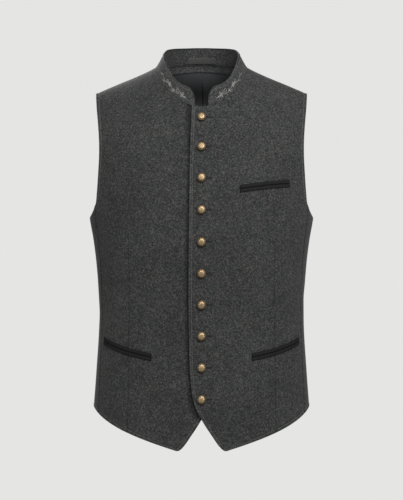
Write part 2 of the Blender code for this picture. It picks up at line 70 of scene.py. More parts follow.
# The torso form. Its rings are superellipses, closed towards the shoulder ridge
RING_POWER = 2.2
RING_COLUMNS = ("height", "half_width", "front", "back")
RINGS = (
    (-0.700, 0.1970, 0.1245, 0.1160),
    (-0.600, 0.1890, 0.1200, 0.1095),
    (-0.530, 0.1837, 0.1160, 0.1000),
    (-0.434, 0.1786, 0.1135, 0.0930),
    (-0.350, 0.1828, 0.1200, 0.1040),
    (-0.300, 0.1888, 0.1255, 0.1140),
    (-0.2625, 0.1951, 0.1270, 0.1200),
    (-0.200, 0.1975, 0.1235, 0.1230),
    (-0.130, 0.2010, 0.1070, 0.1210),
    (-0.073, 0.2050, 0.0870, 0.1180),
    (0.000, 0.2090, 0.0650, 0.1130),
    (0.060, 0.2100, 0.0500, 0.1080),
)
RIDGE_COLUMNS = ("x", "height")
RIDGE = (
    (0.0000, 0.0400),
    (0.0200, 0.0375),
    (0.0400, 0.0290),
    (0.0600, 0.0155),
    (0.0810, 0.0000),
    (0.1094, -0.0140),
    (0.1444, -0.0285),
    (0.1846, -0.0455),
)
SHOULDER_TIP = RIDGE[-1][0]
ROLL = 0.100  # how far below the ridge the cloth reaches its full depth

# Neckline, an ellipse seen from the front
NECK_HALF_WIDTH = 0.0810
NECK_FRONT_DROP = 0.0755
NECK_BACK_RISE = 0.0140
NECK_FRONT_POWER = 1.43
NECK_BACK_POWER = 2.0

# Front edge of one front: height, distance from the middle
EDGE_COLUMNS = ("height", "x")
EDGE = (
    (-0.6565, 0.0378),
    (-0.6450, 0.0275),
    (-0.6310, 0.0180),
    (-0.6170, 0.0085),
    (-0.6030, 0.0000),
    (-0.5900, -0.0075),
    (-0.5690, -0.0145),
    (-0.5350, -0.0188),
    (-0.4900, -0.0210),
    (-0.2400, -0.0210),
    (-0.1400, -0.0192),
    (-0.0730, -0.0167),
)
LIFT = WOOL + 2 * SEAM_GAP  # how far the left front stands over the right one
LIFT_FULL_X = 0.024
LIFT_NONE_X = 0.050
TIP_ROUND = 0.0060  # radius of the pointed corner of a front
EDGE_ROLL = 0.0013  # how far the upper front's edge rolls up
DIP_OFFSET = 0.0015  # the lower front dips in beside the edge that lies over it
DIP_WIDTH = 0.0040
DIP_DEPTH = 0.0026
PAINTED_SHADE_TONE = -0.58  # painted shade on the cloth beside that edge, and along the facing's top edge
# Painted light: the facing is painted much paler, standing in for the light that the shade of the neck keeps
# from it
FACING_TONE = 2.3
# Painted light: the whole collar is painted a little paler than the wool of the body
COLLAR_TONE = 0.15
# Painted shade along the collar's top fold: its width and its change of brightness
COLLAR_RIM = 0.0024
RIM_TONE = -0.75
SEAM_SINK = 0.0007  # depth and width of the groove along a pressed seam, and the painted shade in it
SEAM_WIDTH = 0.0013
SEAM_TONE = -0.40
# Painted shade in the dart's groove
DART_TONE = -0.25
EDGE_TONE = 0.60  # painted highlight along the upper front's edge
STITCH_WIDTH = 0.00042
HEM_STITCH = 0.70  # the hem's stitches lie deeper, so they show this much of their width
RIM_WIDTH = 0.0009  # width of the painted shade along the facing's top edge

# Hem, side seam and dart, as degrees round the form from the middle of the front
HEM_COLUMNS = ("turn", "height")
HEM = (
    (11.7, -0.6565),
    (41.0, -0.6278),
    (70.0, -0.5997),
    (80.0, -0.5925),
    (90.0, -0.5895),
    (105.0, -0.5905),
    (130.0, -0.5980),
    (160.0, -0.6045),
    (180.0, -0.6050),
)
HEM_TIP_HEIGHT = HEM[0][1]
SEAM_COLUMNS = ("height", "side_turn", "dart_turn")
SEAM = (
    (-0.660, 70.0, 41.0),
    (-0.590, 70.5, 41.5),
    (-0.434, 74.0, 44.0),
    (-0.300, 70.0, 41.5),
    (-0.240, 68.4, 40.0),
)
UNDERARM = -0.2400
SIDE_HEM = -0.6005
DART_TOP = -0.2850
DART_SHOULDER_SHARE = 0.37

# Armholes: height, distance from the middle
ARMHOLE_COLUMNS = ("height", "front", "back")
ARMHOLE = (
    (-0.2400, 0.1815, 0.1822),
    (-0.2120, 0.1790, 0.1808),
    (-0.1850, 0.1772, 0.1800),
    (-0.1570, 0.1758, 0.1800),
    (-0.1300, 0.1762, 0.1808),
    (-0.1015, 0.1785, 0.1825),
    (-0.0727, 0.1818, 0.1845),
    (-0.0580, 0.1832, 0.1852),
    (-0.0455, 0.1846, 0.1846),
)
SCYE_COLUMNS = ("turn", "height")
SCYE = (
    (68.4, -0.2400),
    (71.0, -0.2480),
    (75.5, -0.2555),
    (81.0, -0.2600),
    (89.0, -0.2625),
    (97.0, -0.2595),
    (104.0, -0.2522),
    (111.0, -0.2405),
    (126.0, -0.2400),
    (180.0, -0.2400),
)
BACK_ARM_TURN = 111.0

# Places of the columns: share of a front's width, degrees round the neckline there
NECK_COLUMNS = ("share", "turn")
NECK_TURNS = ((0.0, -11.8), (1 / 9, 8.4), (0.5, 90.0))
COLLAR_SHARE = NECK_TURNS[1][0]
NECK_SHARE = NECK_TURNS[2][0]
DART_SHARE = 0.68
EDGE_SHARE = 0.25
BACK_NECK_SHARE = 0.45
BACK_SIDE_SHARE = 1.40

# Standing collar: degrees round the neck from the middle of the back, rise, lean inwards
COLLAR_COLUMNS = ("turn", "rise", "lean")
COLLAR_SHAPE = (
    (0.0, 0.0292, 0.0085),
    (20.0, 0.0300, 0.0090),
    (45.0, 0.0320, 0.0105),
    (62.0, 0.0318, 0.0125),
    (78.0, 0.0280, 0.0145),
    (90.0, 0.0258, 0.0150),
    (115.0, 0.0252, 0.0150),
    (140.0, 0.0258, 0.0110),
    (171.6, 0.0325, 0.0050),
)
COLLAR_END_ROUND = 0.0165
COLLAR_FLARE = 0.0050
NECK_AXIS_Y = -0.0050
TAPE_HALF_WIDTH = 0.0280
TAPE_SPAN = (0.22, 0.61)
TAPE = 0.0006
REST_GAP = 0.0004
FACING_START = 0.963  # shares of the way from the underarm to the neckline
FACING_END = 1.005
FACING_CLEAR = 0.0003  # how far the facing stays below the shoulder ridge at its ends

# The lining's centre pleat laps to the wearer's left: its fold, and how wide it swells
PLEAT_FOLD_X = 0.0018
PLEAT_SWELL = 0.0150
PLEAT_STEP = 0.0008
PLEAT_DEPTH = 0.0032
PLEAT_TOP = -0.0050
PLEAT_OPEN = -0.0250

# Pockets: side, distance from the middle and height of the slit's inner and outer end
POCKETS = {
    "chest_welt": (1, 0.0640, -0.2160, 0.1485, -0.2058),
    "hip_welt_left": (1, 0.0845, -0.4990, 0.1665, -0.4745),
    "hip_welt_right": (-1, 0.0845, -0.4990, 0.1665, -0.4745),
}
POCKET_BOW = {"chest_welt": 0.0010, "hip_welt_left": -0.0022, "hip_welt_right": -0.0022}
LIP_HEIGHT = 0.0061
LIP_SLIT = 0.0006
LIP_THICKNESS = 0.0016
LIP_TONE = -0.70  # painted shade along a lip's slit, outer edge and ends
LIP_EDGE = 0.55  # thickness left at a lip's edges, as a share

BUTTONS = 10
BUTTON_RADIUS = 0.0080
BUTTON_RIM = 0.0024
BUTTON_CROWN = 0.0067
BUTTON_FOOT = ((0.0, 0.0), (0.34, 0.0), (0.38, 0.0002), (0.42, 0.0012), (0.90, 0.0017), (0.98, 0.0020))
PETALS = 8
ROPE_LOBES = 30

# Soft creases: degrees round the form, height, slope of the line in degrees,
# its length and width, and how deep it sinks (negative) or swells
CREASE_COLUMNS = ("turn", "height", "slope", "length", "width", "depth")
CREASES = (
    (47, -0.150, -38, 0.120, 0.0150, -0.0011),
    (38, -0.118, -50, 0.080, 0.0120, 0.0006),
    (-50, -0.165, 35, 0.105, 0.0170, -0.0010),
    (-36, -0.108, 44, 0.090, 0.0130, -0.0006),
    (-25, -0.093, 8, 0.055, 0.0060, -0.0005),
    (25, -0.262, 10, 0.090, 0.0130, -0.0005),
    (-27, -0.287, -12, 0.100, 0.0140, -0.0007),
    (27, -0.368, 5, 0.085, 0.0110, -0.0007),
    (-25, -0.352, -9, 0.100, 0.0100, -0.0008),
    (24, -0.421, -6, 0.070, 0.0090, -0.0006),
    (-28, -0.437, 4, 0.085, 0.0120, -0.0007),
    (62, -0.402, 14, 0.080, 0.0120, -0.0010),
    (-64, -0.385, -17, 0.095, 0.0130, -0.0011),
    (-60, -0.448, 9, 0.060, 0.0100, -0.0007),
    (58, -0.530, 76, 0.100, 0.0150, -0.0010),
    (-55, -0.545, 101, 0.115, 0.0170, -0.0011),
    (27, -0.566, 84, 0.120, 0.0160, -0.0010),
    (-29, -0.580, 97, 0.100, 0.0140, -0.0009),
    (40, -0.516, 12, 0.080, 0.0090, 0.0005),
    (-42, -0.520, -12, 0.075, 0.0100, 0.0005),
    (88, -0.400, 10, 0.090, 0.0170, -0.0005),
    (-92, -0.425, -14, 0.080, 0.0170, -0.0005),
    (101, -0.470, -6, 0.060, 0.0140, -0.0006),
    (-99, -0.365, 8, 0.070, 0.0140, -0.0006),
    (98, -0.310, 62, 0.080, 0.0160, -0.0006),
    (-101, -0.300, -66, 0.070, 0.0160, -0.0007),
    (138, -0.190, 64, 0.150, 0.0180, -0.0021),
    (-140, -0.205, -60, 0.130, 0.0200, -0.0019),
    (158, -0.250, 78, 0.110, 0.0170, 0.0011),
    (-160, -0.150, -80, 0.090, 0.0150, -0.0012),
    (168, -0.395, 6, 0.130, 0.0120, -0.0021),
    (-166, -0.418, -8, 0.150, 0.0140, -0.0023),
    (146, -0.437, 13, 0.100, 0.0110, -0.0017),
    (-144, -0.380, -12, 0.080, 0.0100, -0.0015),
    (176, -0.452, -3, 0.090, 0.0110, -0.0015),
    (160, -0.545, 86, 0.110, 0.0180, 0.0019),
    (-163, -0.555, 95, 0.100, 0.0160, 0.0016),
    (142, -0.560, 80, 0.090, 0.0150, -0.0012),
    (-140, -0.550, 99, 0.110, 0.0170, -0.0012),
    (118, -0.545, 84, 0.085, 0.0140, -0.0009),
    (-120, -0.555, 97, 0.080, 0.0150, -0.0010),
)
CREASE_RADIUS = 0.165  # radius at which a degree round the form is laid flat

# The wearer's view of the photograph: a level camera in front of the middle
CAMERA_DISTANCE = 2.80
CAMERA_HEIGHT = -0.3185
LENS_MM = 115.2
SENSOR_MM = 36.0
FLOOR_HEIGHT = -1.45  # where the wearer would stand
FLOOR_REACH = 30.0


def linear(hex_colour):
    """A linear RGB colour from an sRGB hex value."""
    parts = [int(hex_colour[i : i + 2], 16) / 255 for i in (1, 3, 5)]
    return tuple(c / 12.92 if c <= 0.04045 else ((c + 0.055) / 1.055) ** 2.4 for c in parts)


class VestSizes(bpy.types.PropertyGroup):
    """Sizes that a maker would change."""

    crease_share: bpy.props.FloatProperty(
        name="Creases", description="Depth of the soft creases, as a share", default=1.6, min=0, max=2
    )
    stitch_inset: bpy.props.FloatProperty(
        name="Stitch inset",
        description="Distance of the edge stitching from the edge",
        default=0.0055,
        unit="LENGTH",
    )
    stitch_pitch: bpy.props.FloatProperty(
        name="Stitch pitch", description="Length of one stitch and its gap", default=0.0034, unit="LENGTH"
    )
    stitch_sink: bpy.props.FloatProperty(
        name="Stitch sink", description="How deep a row of stitches draws the cloth in", default=0.0008,
        unit="LENGTH",
    )
    dart_sink: bpy.props.FloatProperty(
        name="Dart sink", description="Depth of the dart's groove", default=0.0013, unit="LENGTH"
    )
    button_relief: bpy.props.FloatProperty(
        name="Button relief", description="Height of the rosette on a button", default=0.00028, unit="LENGTH"
    )
    buttonhole: bpy.props.FloatProperty(
        name="Buttonhole", description="Length of a buttonhole", default=0.0195, unit="LENGTH"
    )
    vine_height: bpy.props.FloatProperty(
        name="Vine height",
        description="Height of the embroidered band on the collar",
        default=0.0128,
        unit="LENGTH",
    )


class VestColours(bpy.types.PropertyGroup):
    """Colours that a maker would change."""

    wool: bpy.props.FloatVectorProperty(
        name="Wool", description="Middle tone of the melange", default=linear("#262726"), subtype="COLOR"
    )
    wool_dark: bpy.props.FloatVectorProperty(
        name="Dark fibres", description="Dark fibres of the melange", default=linear("#191a19"),
        subtype="COLOR",
    )
    wool_light: bpy.props.FloatVectorProperty(
        name="Light fibres", description="Light fibres of the melange", default=linear("#3d3e3c"),
        subtype="COLOR",
    )
    lining: bpy.props.FloatVectorProperty(
        name="Lining", description="Dark lining cloth", default=linear("#2c2d2e"), subtype="COLOR"
    )
    trim: bpy.props.FloatVectorProperty(
        name="Pocket lips", description="Near-black felted wool", default=linear("#171817"), subtype="COLOR"
    )
    brass: bpy.props.FloatVectorProperty(
        name="Brass", description="Worn brass of the buttons", default=linear("#988467"), subtype="COLOR"
    )
    thread: bpy.props.FloatVectorProperty(
        name="Thread", description="Sewing thread", default=linear("#545552"), subtype="COLOR"
    )
    tape: bpy.props.FloatVectorProperty(
        name="Tape", description="Woven tape inside the collar", default=linear("#282827"), subtype="COLOR"
    )
    twist: bpy.props.FloatVectorProperty(
        name="Buttonhole twist", description="Dark thread of the buttonholes", default=linear("#212221"),
        subtype="COLOR",
    )
    silk: bpy.props.FloatVectorProperty(
        name="Embroidery thread", description="Light grey thread of the vine", default=linear("#787772"),
        subtype="COLOR",
    )


def column(table, columns, name):
    """One named column of a table."""
    return np.array([row[columns.index(name)] for row in table], float)


def smooth(at, knots, values):
    """A smooth curve through the knots: cubic Hermite pieces with averaged slopes."""
    steps = np.diff(values) / np.diff(knots)
    slopes = np.concatenate([[steps[0]], (steps[:-1] + steps[1:]) / 2, [steps[-1]]])
    at = np.clip(np.asarray(at, float), knots[0], knots[-1])
    i = np.clip(np.searchsorted(knots, at) - 1, 0, len(knots) - 2)
    width = knots[i + 1] - knots[i]
    t = (at - knots[i]) / width
    return (
        values[i] * (1 + 2 * t) * (1 - t) ** 2
        + slopes[i] * width * t * (1 - t) ** 2
        + values[i + 1] * t * t * (3 - 2 * t)
        - slopes[i + 1] * width * t * t * (1 - t)
    )


def from_table(table, columns, key, name, at):
    """A named column of a table as a smooth function of its key column."""
    return smooth(at, column(table, columns, key), column(table, columns, name))


def unit(vectors):
    return vectors / np.maximum(np.linalg.norm(vectors, axis=-1, keepdims=True), 1e-12)


def blend(value, start, end):
    """0 at start, 1 at end, and smooth between them: 3t^2 - 2t^3."""
    t = np.clip((np.asarray(value, float) - start) / (end - start), 0, 1)
    return t * t * (3 - 2 * t)


def bell(value, middle, width):
    """1 in the middle, falling off on both sides: e to the minus squared distance."""
    return np.exp(-(((value - middle) / width) ** 2))


def runs(points, axis):
    """Distance along a grid's rows or columns, from their start to each point."""
    steps = np.linalg.norm(np.diff(points, axis=axis), axis=-1)
    total = np.cumsum(steps, axis=axis)
    return np.concatenate([np.zeros_like(np.take(total, [0], axis)), total], axis=axis)


def sample(grid, row, cell):
    """A grid's values between its points: bilinear at fractional row and column numbers."""
    row = np.clip(row, 0, grid.shape[0] - 1.000001)
    cell = np.clip(cell, 0, grid.shape[1] - 1.000001)
    i, j = row.astype(int), cell.astype(int)
    a, b = (row - i)[..., None], (cell - j)[..., None]
    return (
        grid[i, j] * (1 - a) * (1 - b)
        + grid[i, j + 1] * (1 - a) * b
        + grid[i + 1, j] * a * (1 - b)
        + grid[i + 1, j + 1] * a * b
    )


def half_width(height):
    return from_table(RINGS, RING_COLUMNS, "height", "half_width", height)


def ridge(x):
    return from_table(RIDGE, RIDGE_COLUMNS, "x", "height", np.abs(x))


def depth_squared(x, height, side):
    """Square of the form's depth: the ring's, shrunk to nothing at the shoulder ridge."""
    face = "front" if side < 0 else "back"
    ring = from_table(RINGS, RING_COLUMNS, "height", face, height)
    across = np.clip(np.abs(x) / half_width(height), 0, 1)
    below = np.clip((ridge(x) - height) / ROLL, 0, 1)
    reach = (1 - across**RING_POWER) ** (2 / RING_POWER)
    return ring**2 * reach * (2 * below - below**2)


def form(x, height, side):
    """Points and outward normals of the form. side is -1 on the front and 1 on the back."""
    x, height = np.broadcast_arrays(np.asarray(x, float), np.asarray(height, float))
    depth = np.sqrt(np.maximum(depth_squared(x, height, side), 0))
    step = 1e-4
    slope_x = depth_squared(x + step, height, side) - depth_squared(x - step, height, side)
    slope_z = depth_squared(x, height + step, side) - depth_squared(x, height - step, side)
    normal = np.stack([-slope_x, 4 * step * depth * side, -slope_z], -1)
    return np.stack([x, side * depth, height], -1), unit(normal)


def creases(points):
    """How far the cloth swells off the form at each point.

    Each crease is a bell across its line times a smooth rise and fall along it, on the
    form unrolled round the upright axis.
    """
    share = bpy.context.scene.vest_sizes.crease_share
    turn = np.degrees(np.arctan2(points[..., 0], -points[..., 1]))
    total = np.zeros(points.shape[:-1])
    for at_turn, height, slope, length, width, depth in CREASES:
        across = np.radians((turn - at_turn + 180) % 360 - 180) * CREASE_RADIUS
        up = points[..., 2] - height
        angle = math.radians(slope)
        along = across * math.cos(angle) + up * math.sin(angle)
        beside = up * math.cos(angle) - across * math.sin(angle)
        reach = blend(np.abs(along), length / 2 * 1.25, 0)
        total += depth * reach * bell(beside, 0, width)
    quiet = blend(points[..., 2], -0.035, -0.075)
    return share * total * quiet


def turn_of(x, height):
    """Degrees round the form, from the middle, of a distance x."""
    return np.degrees(np.arcsin(np.clip(x / half_width(height), -1, 1)))


def x_of(turn, height):
    return half_width(height) * np.sin(np.radians(turn))


def lift_of(x):
    """How far the left front stands off the form to lie over the right one."""
    return LIFT * blend(x, LIFT_NONE_X, LIFT_FULL_X)


def cells(*spans):
    """Places along a row from spans of (start, end, number of cells)."""
    parts = [np.linspace(start, end, count + 1)[:-1] for start, end, count in spans]
    return np.concatenate([*parts, [spans[-1][1]]])


BELOW = cells((0.0, 0.028, 11), (0.028, 1.0, 84))  # hem to underarm
ABOVE = 1 - (1 - np.linspace(0, 1, 71)[1:]) ** 1.6  # underarm to shoulder
FRONT_CELLS = cells(
    (0.0, 0.055, 14),
    (0.055, DART_SHARE - 0.020, 50),
    (DART_SHARE - 0.020, DART_SHARE + 0.020, 16),
    (DART_SHARE + 0.020, 0.945, 20),
    (0.945, 1.0, 12),
)
BACK_CELLS = cells(
    (0.0, 0.110, 18), (0.110, 0.945, 52), (0.945, 1.0, 10), (1.0, 1.36, 16), (1.36, BACK_SIDE_SHARE, 5)
)


def front_grid(shares=FRONT_CELLS, below=BELOW, above=ABOVE):
    """x and height of a left front's points, hem to shoulder, front edge to side.

    Below the underarm a column is a straight share of the turn from edge to dart to side.
    Above it the columns run straight to the neckline and shoulder, then bend to follow the
    front edge and the armhole.
    """
    from_hem = below * (UNDERARM - HEM_TIP_HEIGHT)
    corner = np.clip(TIP_ROUND - from_hem, 0, TIP_ROUND)
    start = (TIP_ROUND - np.sqrt(TIP_ROUND**2 - corner**2)) / 0.19
    wide = start[:, None] + (1 - start[:, None]) * shares

    def turns(edge_height, side_height, at):
        edge = turn_of(from_table(EDGE, EDGE_COLUMNS, "height", "x", edge_height), edge_height)
        dart = from_table(SEAM, SEAM_COLUMNS, "height", "dart_turn", side_height)
        side = from_table(SEAM, SEAM_COLUMNS, "height", "side_turn", side_height)
        to_dart = np.clip(at / DART_SHARE, 0, 1)
        to_side = np.clip((at - DART_SHARE) / (1 - DART_SHARE), 0, 1)
        return edge + (dart - edge) * to_dart + (side - dart) * to_side

    bottom = hem(turns(HEM_TIP_HEIGHT, SIDE_HEM, wide))
    low_z = bottom + (UNDERARM - bottom) * below[:, None]
    tip, side_z = hem(turns(HEM_TIP_HEIGHT, SIDE_HEM, np.array([0.0, 1.0])))
    edge_z = (tip + (UNDERARM - tip) * below)[:, None]
    side_z = (side_z + (UNDERARM - side_z) * below)[:, None]
    low_x = x_of(turns(edge_z, side_z, wide), low_z)

    start_x = low_x[-1]
    turn = np.interp(shares, *(column(NECK_TURNS, NECK_COLUMNS, name) for name in NECK_COLUMNS))
    neck_x, neck_z = front_neckline(turn)
    dart_x = NECK_HALF_WIDTH + DART_SHOULDER_SHARE * (SHOULDER_TIP - NECK_HALF_WIDTH)
    shoulder = np.interp(shares, [NECK_SHARE, DART_SHARE, 1], [NECK_HALF_WIDTH, dart_x, SHOULDER_TIP])
    in_neck = shares <= NECK_SHARE
    top_x = np.where(in_neck, neck_x, shoulder)
    top_z = np.where(in_neck, neck_z, ridge(top_x))
    up = above[:, None]
    high_z = UNDERARM + (top_z - UNDERARM) * up
    straight = start_x + (top_x - start_x) * up
    arm = from_table(ARMHOLE, ARMHOLE_COLUMNS, "height", "front", high_z[:, -1:])
    edge = from_table(EDGE, EDGE_COLUMNS, "height", "x", high_z[:, :1])
    high_x = (
        straight
        + blend(shares, NECK_SHARE, 1) * (arm - straight[:, -1:])
        + blend(shares, EDGE_SHARE, 0) * (edge - straight[:, :1])
    )
    return np.concatenate([low_x, high_x]), np.concatenate([low_z, high_z])


def front_neckline(turn):
    """x and height of the front neckline, in degrees from its middle."""
    angle = np.radians(turn)
    return NECK_HALF_WIDTH * np.sin(angle), -NECK_FRONT_DROP * np.cos(angle) ** NECK_FRONT_POWER


def hem(turn):
    return from_table(HEM, HEM_COLUMNS, "turn", "height", turn)


def back_grid(shares=BACK_CELLS, below=BELOW, above=ABOVE):
    """x, height, turn and kept cells of the whole back, from the right side seam to the left."""

    def turns(side_height, at):
        side = from_table(SEAM, SEAM_COLUMNS, "height", "side_turn", side_height)
        to_arm = np.clip(at, 0, 1)
        to_side = np.clip((at - 1) / (BACK_SIDE_SHARE - 1), 0, 1)
        return 180 + (BACK_ARM_TURN - 180) * to_arm + (side - BACK_ARM_TURN) * to_side

    bottom = hem(turns(SIDE_HEM, shares))
    underarm = from_table(SCYE, SCYE_COLUMNS, "turn", "height", turns(UNDERARM, shares))
    low_z = bottom + (underarm - bottom) * below[:, None]
    low_x = x_of(turns(low_z[:, -1:], shares), low_z)

    start_x = low_x[-1]
    angle = np.radians(np.interp(shares, [0, BACK_NECK_SHARE], [0.0, 90.0]))
    shoulder = np.interp(shares, [BACK_NECK_SHARE, 1], [NECK_HALF_WIDTH, SHOULDER_TIP])
    in_neck = shares <= BACK_NECK_SHARE
    top_x = np.where(in_neck, NECK_HALF_WIDTH * np.sin(angle), shoulder)
    top_z = np.where(in_neck, NECK_BACK_RISE * np.cos(angle) ** NECK_BACK_POWER, ridge(top_x))
    arm_column = int(np.argmin(np.abs(shares - 1)))
    up = above[:, None]
    high_z = underarm + (top_z - underarm) * up
    straight = start_x + (top_x - start_x) * up
    arm_z = high_z[:, arm_column : arm_column + 1]
    arm = from_table(ARMHOLE, ARMHOLE_COLUMNS, "height", "back", arm_z)
    arm_gap = arm - straight[:, arm_column : arm_column + 1]
    high_x = straight + blend(shares, BACK_NECK_SHARE, 1) * arm_gap

    x, height = np.concatenate([low_x, high_x]), np.concatenate([low_z, high_z])
    keep = np.ones((len(x) - 1, len(shares) - 1), bool)
    keep[len(below) - 1 :, arm_column:] = False
    turn = np.broadcast_to(turns(UNDERARM, shares), x.shape)
    whole = [
        np.concatenate([part[:, :0:-1] * sign, part], axis=1)
        for part, sign in ((x, -1), (height, 1), (turn, 1))
    ]
    return *whole, np.concatenate([keep[:, ::-1], keep], axis=1)


def front_face(side):
    """Points, normals, x and height of one front's outer face, creased but not yet sewn."""
    x, height = front_grid()
    points, normals = form(x, height, -1)
    mirror = np.array((side, 1, 1))
    lift = creases(points * mirror)
    if side > 0:
        lift = lift + lift_of(x)
    return points + normals * lift[..., None], normals, x, height


def back_face():
    """Points, normals and kept cells of the back's outer face."""
    x, height, turn, keep = back_grid()
    behind, behind_normal = form(x, height, 1)
    before, before_normal = form(x, height, -1)
    is_before = (turn < 90.0)[..., None]
    points = np.where(is_before, before, behind)
    normals = np.where(is_before, before_normal, behind_normal)
    return points + normals * creases(points)[..., None], normals, keep


def edge_distance(points, keep_rows, far_side=True):
    """Distance of each point of a front from its front edge, hem and armhole."""
    across = runs(points, 1)
    up = runs(points, 0)
    arm = across[:, -1:] - across
    arm[: keep_rows - 1] = 1.0
    return across, up, arm


def sewn(distance):
    """Relief beside an edge: a groove under the stitches and a soft roll outside it."""
    sizes = bpy.context.scene.vest_sizes
    groove = bell(distance, sizes.stitch_inset, 0.0011)
    roll = bell(distance, sizes.stitch_inset * 0.5, 0.0016)
    return sizes.stitch_sink * (0.55 * roll - groove)


def with_value(uv, values):
    """A map with one more number for each point, which wall() carries to the mesh."""
    return np.concatenate([uv, np.broadcast_to(values, uv.shape[:2])[..., None]], axis=-1)


def wall(outer, inner, uv, keep=None, pull=SEAM_CLOSE, steps=4, bulge=0.45):
    """Points, quads and map of a closed wall of cloth with a rounded edge.

    At the border the section is half an ellipse: centre + r (bulge sin a outward + cos a normal).
    """
    rows, columns = outer.shape[:2]
    if keep is None:
        keep = np.ones((rows - 1, columns - 1), bool)
    count = rows * columns
    index = np.arange(count).reshape(rows, columns)
    row, cell = np.nonzero(keep)
    face = np.stack(
        [index[row, cell], index[row, cell + 1], index[row + 1, cell + 1], index[row + 1, cell]], -1
    )
    start = face.reshape(-1)
    end = np.roll(face, -1, axis=1).reshape(-1)
    free = ~np.isin(start * count + end, end * count + start)
    a, b = start[free], end[free]
    outer, inner, uv = outer.reshape(-1, 3), inner.reshape(-1, 3), uv.reshape(-1, uv.shape[-1])
    normal = unit(outer - inner)
    leave = unit(np.cross(outer[b] - outer[a], normal[a] + normal[b]))
    outward = np.zeros_like(outer)
    np.add.at(outward, a, leave)
    np.add.at(outward, b, leave)
    border = np.unique(a)
    away, up = unit(outward[border]), normal[border]
    radius = np.linalg.norm(outer[border] - inner[border], axis=-1, keepdims=True) / 2
    centre = (outer[border] + inner[border]) / 2 - away * (bulge * radius + pull)
    rings = [
        centre + radius * (bulge * math.sin(angle) * away + math.cos(angle) * up)
        for angle in np.linspace(0, math.pi, steps + 1)
    ]
    outer, inner = outer.copy(), inner.copy()
    outer[border], inner[border] = rings[0], rings[-1]
    place = np.zeros(count, int)
    place[border] = np.arange(len(border))
    levels = [lambda v: v]
    for ring in range(steps - 1):
        levels.append(lambda v, ring=ring: 2 * count + ring * len(border) + place[v])
    levels.append(lambda v: v + count)
    sides = [
        np.stack([upper(b), upper(a), lower(a), lower(b)], -1)
        for upper, lower in zip(levels[:-1], levels[1:])
    ]
    faces = np.concatenate([face, face[:, ::-1] + count, *sides])
    points = np.concatenate([outer, inner, *rings[1:-1]])
    places = np.concatenate([uv, uv, *[uv[border]] * (steps - 1)])
    used, faces = np.unique(faces, return_inverse=True)
    return points[used], faces.reshape(-1, 4), places[used]


def tubes(paths, ups, radii, squash=1.0, sides=6):
    """Points and faces of closed tubes, one for each path, with a pole at both ends.

    A ring's points are centre + r (cos a across + squash sin a up).
    """
    paths, ups = np.asarray(paths, float), np.asarray(ups, float)
    many, steps = paths.shape[:2]
    radii = np.broadcast_to(radii, (many, steps))
    along = unit(np.gradient(paths, axis=1))
    across = unit(np.cross(along, ups))
    up = np.cross(across, along)
    angle = np.linspace(0, 2 * math.pi, sides, endpoint=False)[:, None]
    ring = np.cos(angle) * across[:, :, None] + squash * np.sin(angle) * up[:, :, None]
    rings = paths[:, :, None] + radii[..., None, None] * ring
    poles = np.stack(
        [paths[:, 0] - along[:, 0] * radii[:, :1] * 0.5, paths[:, -1] + along[:, -1] * radii[:, -1:] * 0.5], 1
    )
    body = steps * sides
    points = np.concatenate([rings.reshape(many, body, 3), poles], axis=1).reshape(-1, 3)
    k = np.arange(sides)
    after = (k + 1) % sides
    low = (np.arange(steps - 1) * sides)[:, None]
    quads = np.stack([low + k, low + sides + k, low + sides + after, low + after], -1).reshape(-1, 4)
    last = (steps - 1) * sides
    starts = np.stack([np.full(sides, body), k, after], -1)
    ends = np.stack([np.full(sides, body + 1), last + after, last + k], -1)
    shift = (np.arange(many) * (body + 2))[:, None, None]
    quads = (quads[None] + shift).reshape(-1, 4)
    tris = (np.concatenate([starts, ends])[None] + shift).reshape(-1, 3)
    return points, quads.tolist() + tris.tolist()


def joined(parts):
    """Several lists of points and faces as one."""
    points, faces, count = [], [], 0
    for part_points, part_faces in parts:
        points.append(part_points)
        faces += [[count + i for i in face] for face in part_faces]
        count += len(part_points)
    return np.concatenate(points), faces


def make_piece(name, points, faces, material, replaces=(), uv=None, attributes=(), sharp=50.0):
    """One smooth-shaded object on the vest's body, with its place in its mesh."""
    mesh = bpy.data.meshes.new(name)
    faces = faces.tolist() if hasattr(faces, "tolist") else faces
    mesh.from_pydata(np.asarray(points, float).tolist(), [], faces)
    if uv is not None:
        layer = mesh.uv_layers.new(name="cloth")
        corners = np.empty(len(mesh.loops), int)
        mesh.loops.foreach_get("vertex_index", corners)
        layer.data.foreach_set("uv", uv[corners].astype(np.float32).ravel())
    for label, values in attributes:
        layer = mesh.attributes.new(label, "FLOAT", "POINT")
        layer.data.foreach_set("value", np.asarray(values, np.float32))
    mesh.shade_smooth()
    mesh.set_sharp_from_angle(angle=math.radians(sharp))
    mesh.materials.append(material)
    piece = bpy.data.objects.new(name, mesh)
    bpy.context.scene.collection.objects.link(piece)
    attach(piece, BODY)
    if replaces:
        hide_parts(*replaces)
    return piece


def add(tree, kind, inputs=(), **settings):
    """Adds a node with its settings. An input is a value or the socket that feeds it."""
    node = tree.nodes.new(kind)
    for name, value in settings.items():
        setattr(node, name, value)
    for name, value in dict(inputs).items():
        if isinstance(value, bpy.types.NodeSocket):
            tree.links.new(value, node.inputs[name])
        else:
            node.inputs[name].default_value = value
    return node


def new_material(name):
    """An empty material of that name, its tree, shader and output."""
    material = bpy.data.materials.new(name)
    material.use_nodes = True
    tree = material.node_tree
    tree.nodes.clear()
    shader = add(tree, "ShaderNodeBsdfPrincipled")
    add(tree, "ShaderNodeOutputMaterial", {"Surface": shader.outputs["BSDF"]})
    return material, tree, shader


def ramp(tree, factor, stops):
    """A colour ramp from (place, linear colour) stops."""
    node = add(tree, "ShaderNodeValToRGB", {"Fac": factor})
    elements = node.color_ramp.elements
    while len(elements) < len(stops):
        elements.new(0.5)
    for element, (place, colour) in zip(elements, stops):
        element.position = place
        element.color = (*colour, 1.0)
    return node.outputs["Color"]


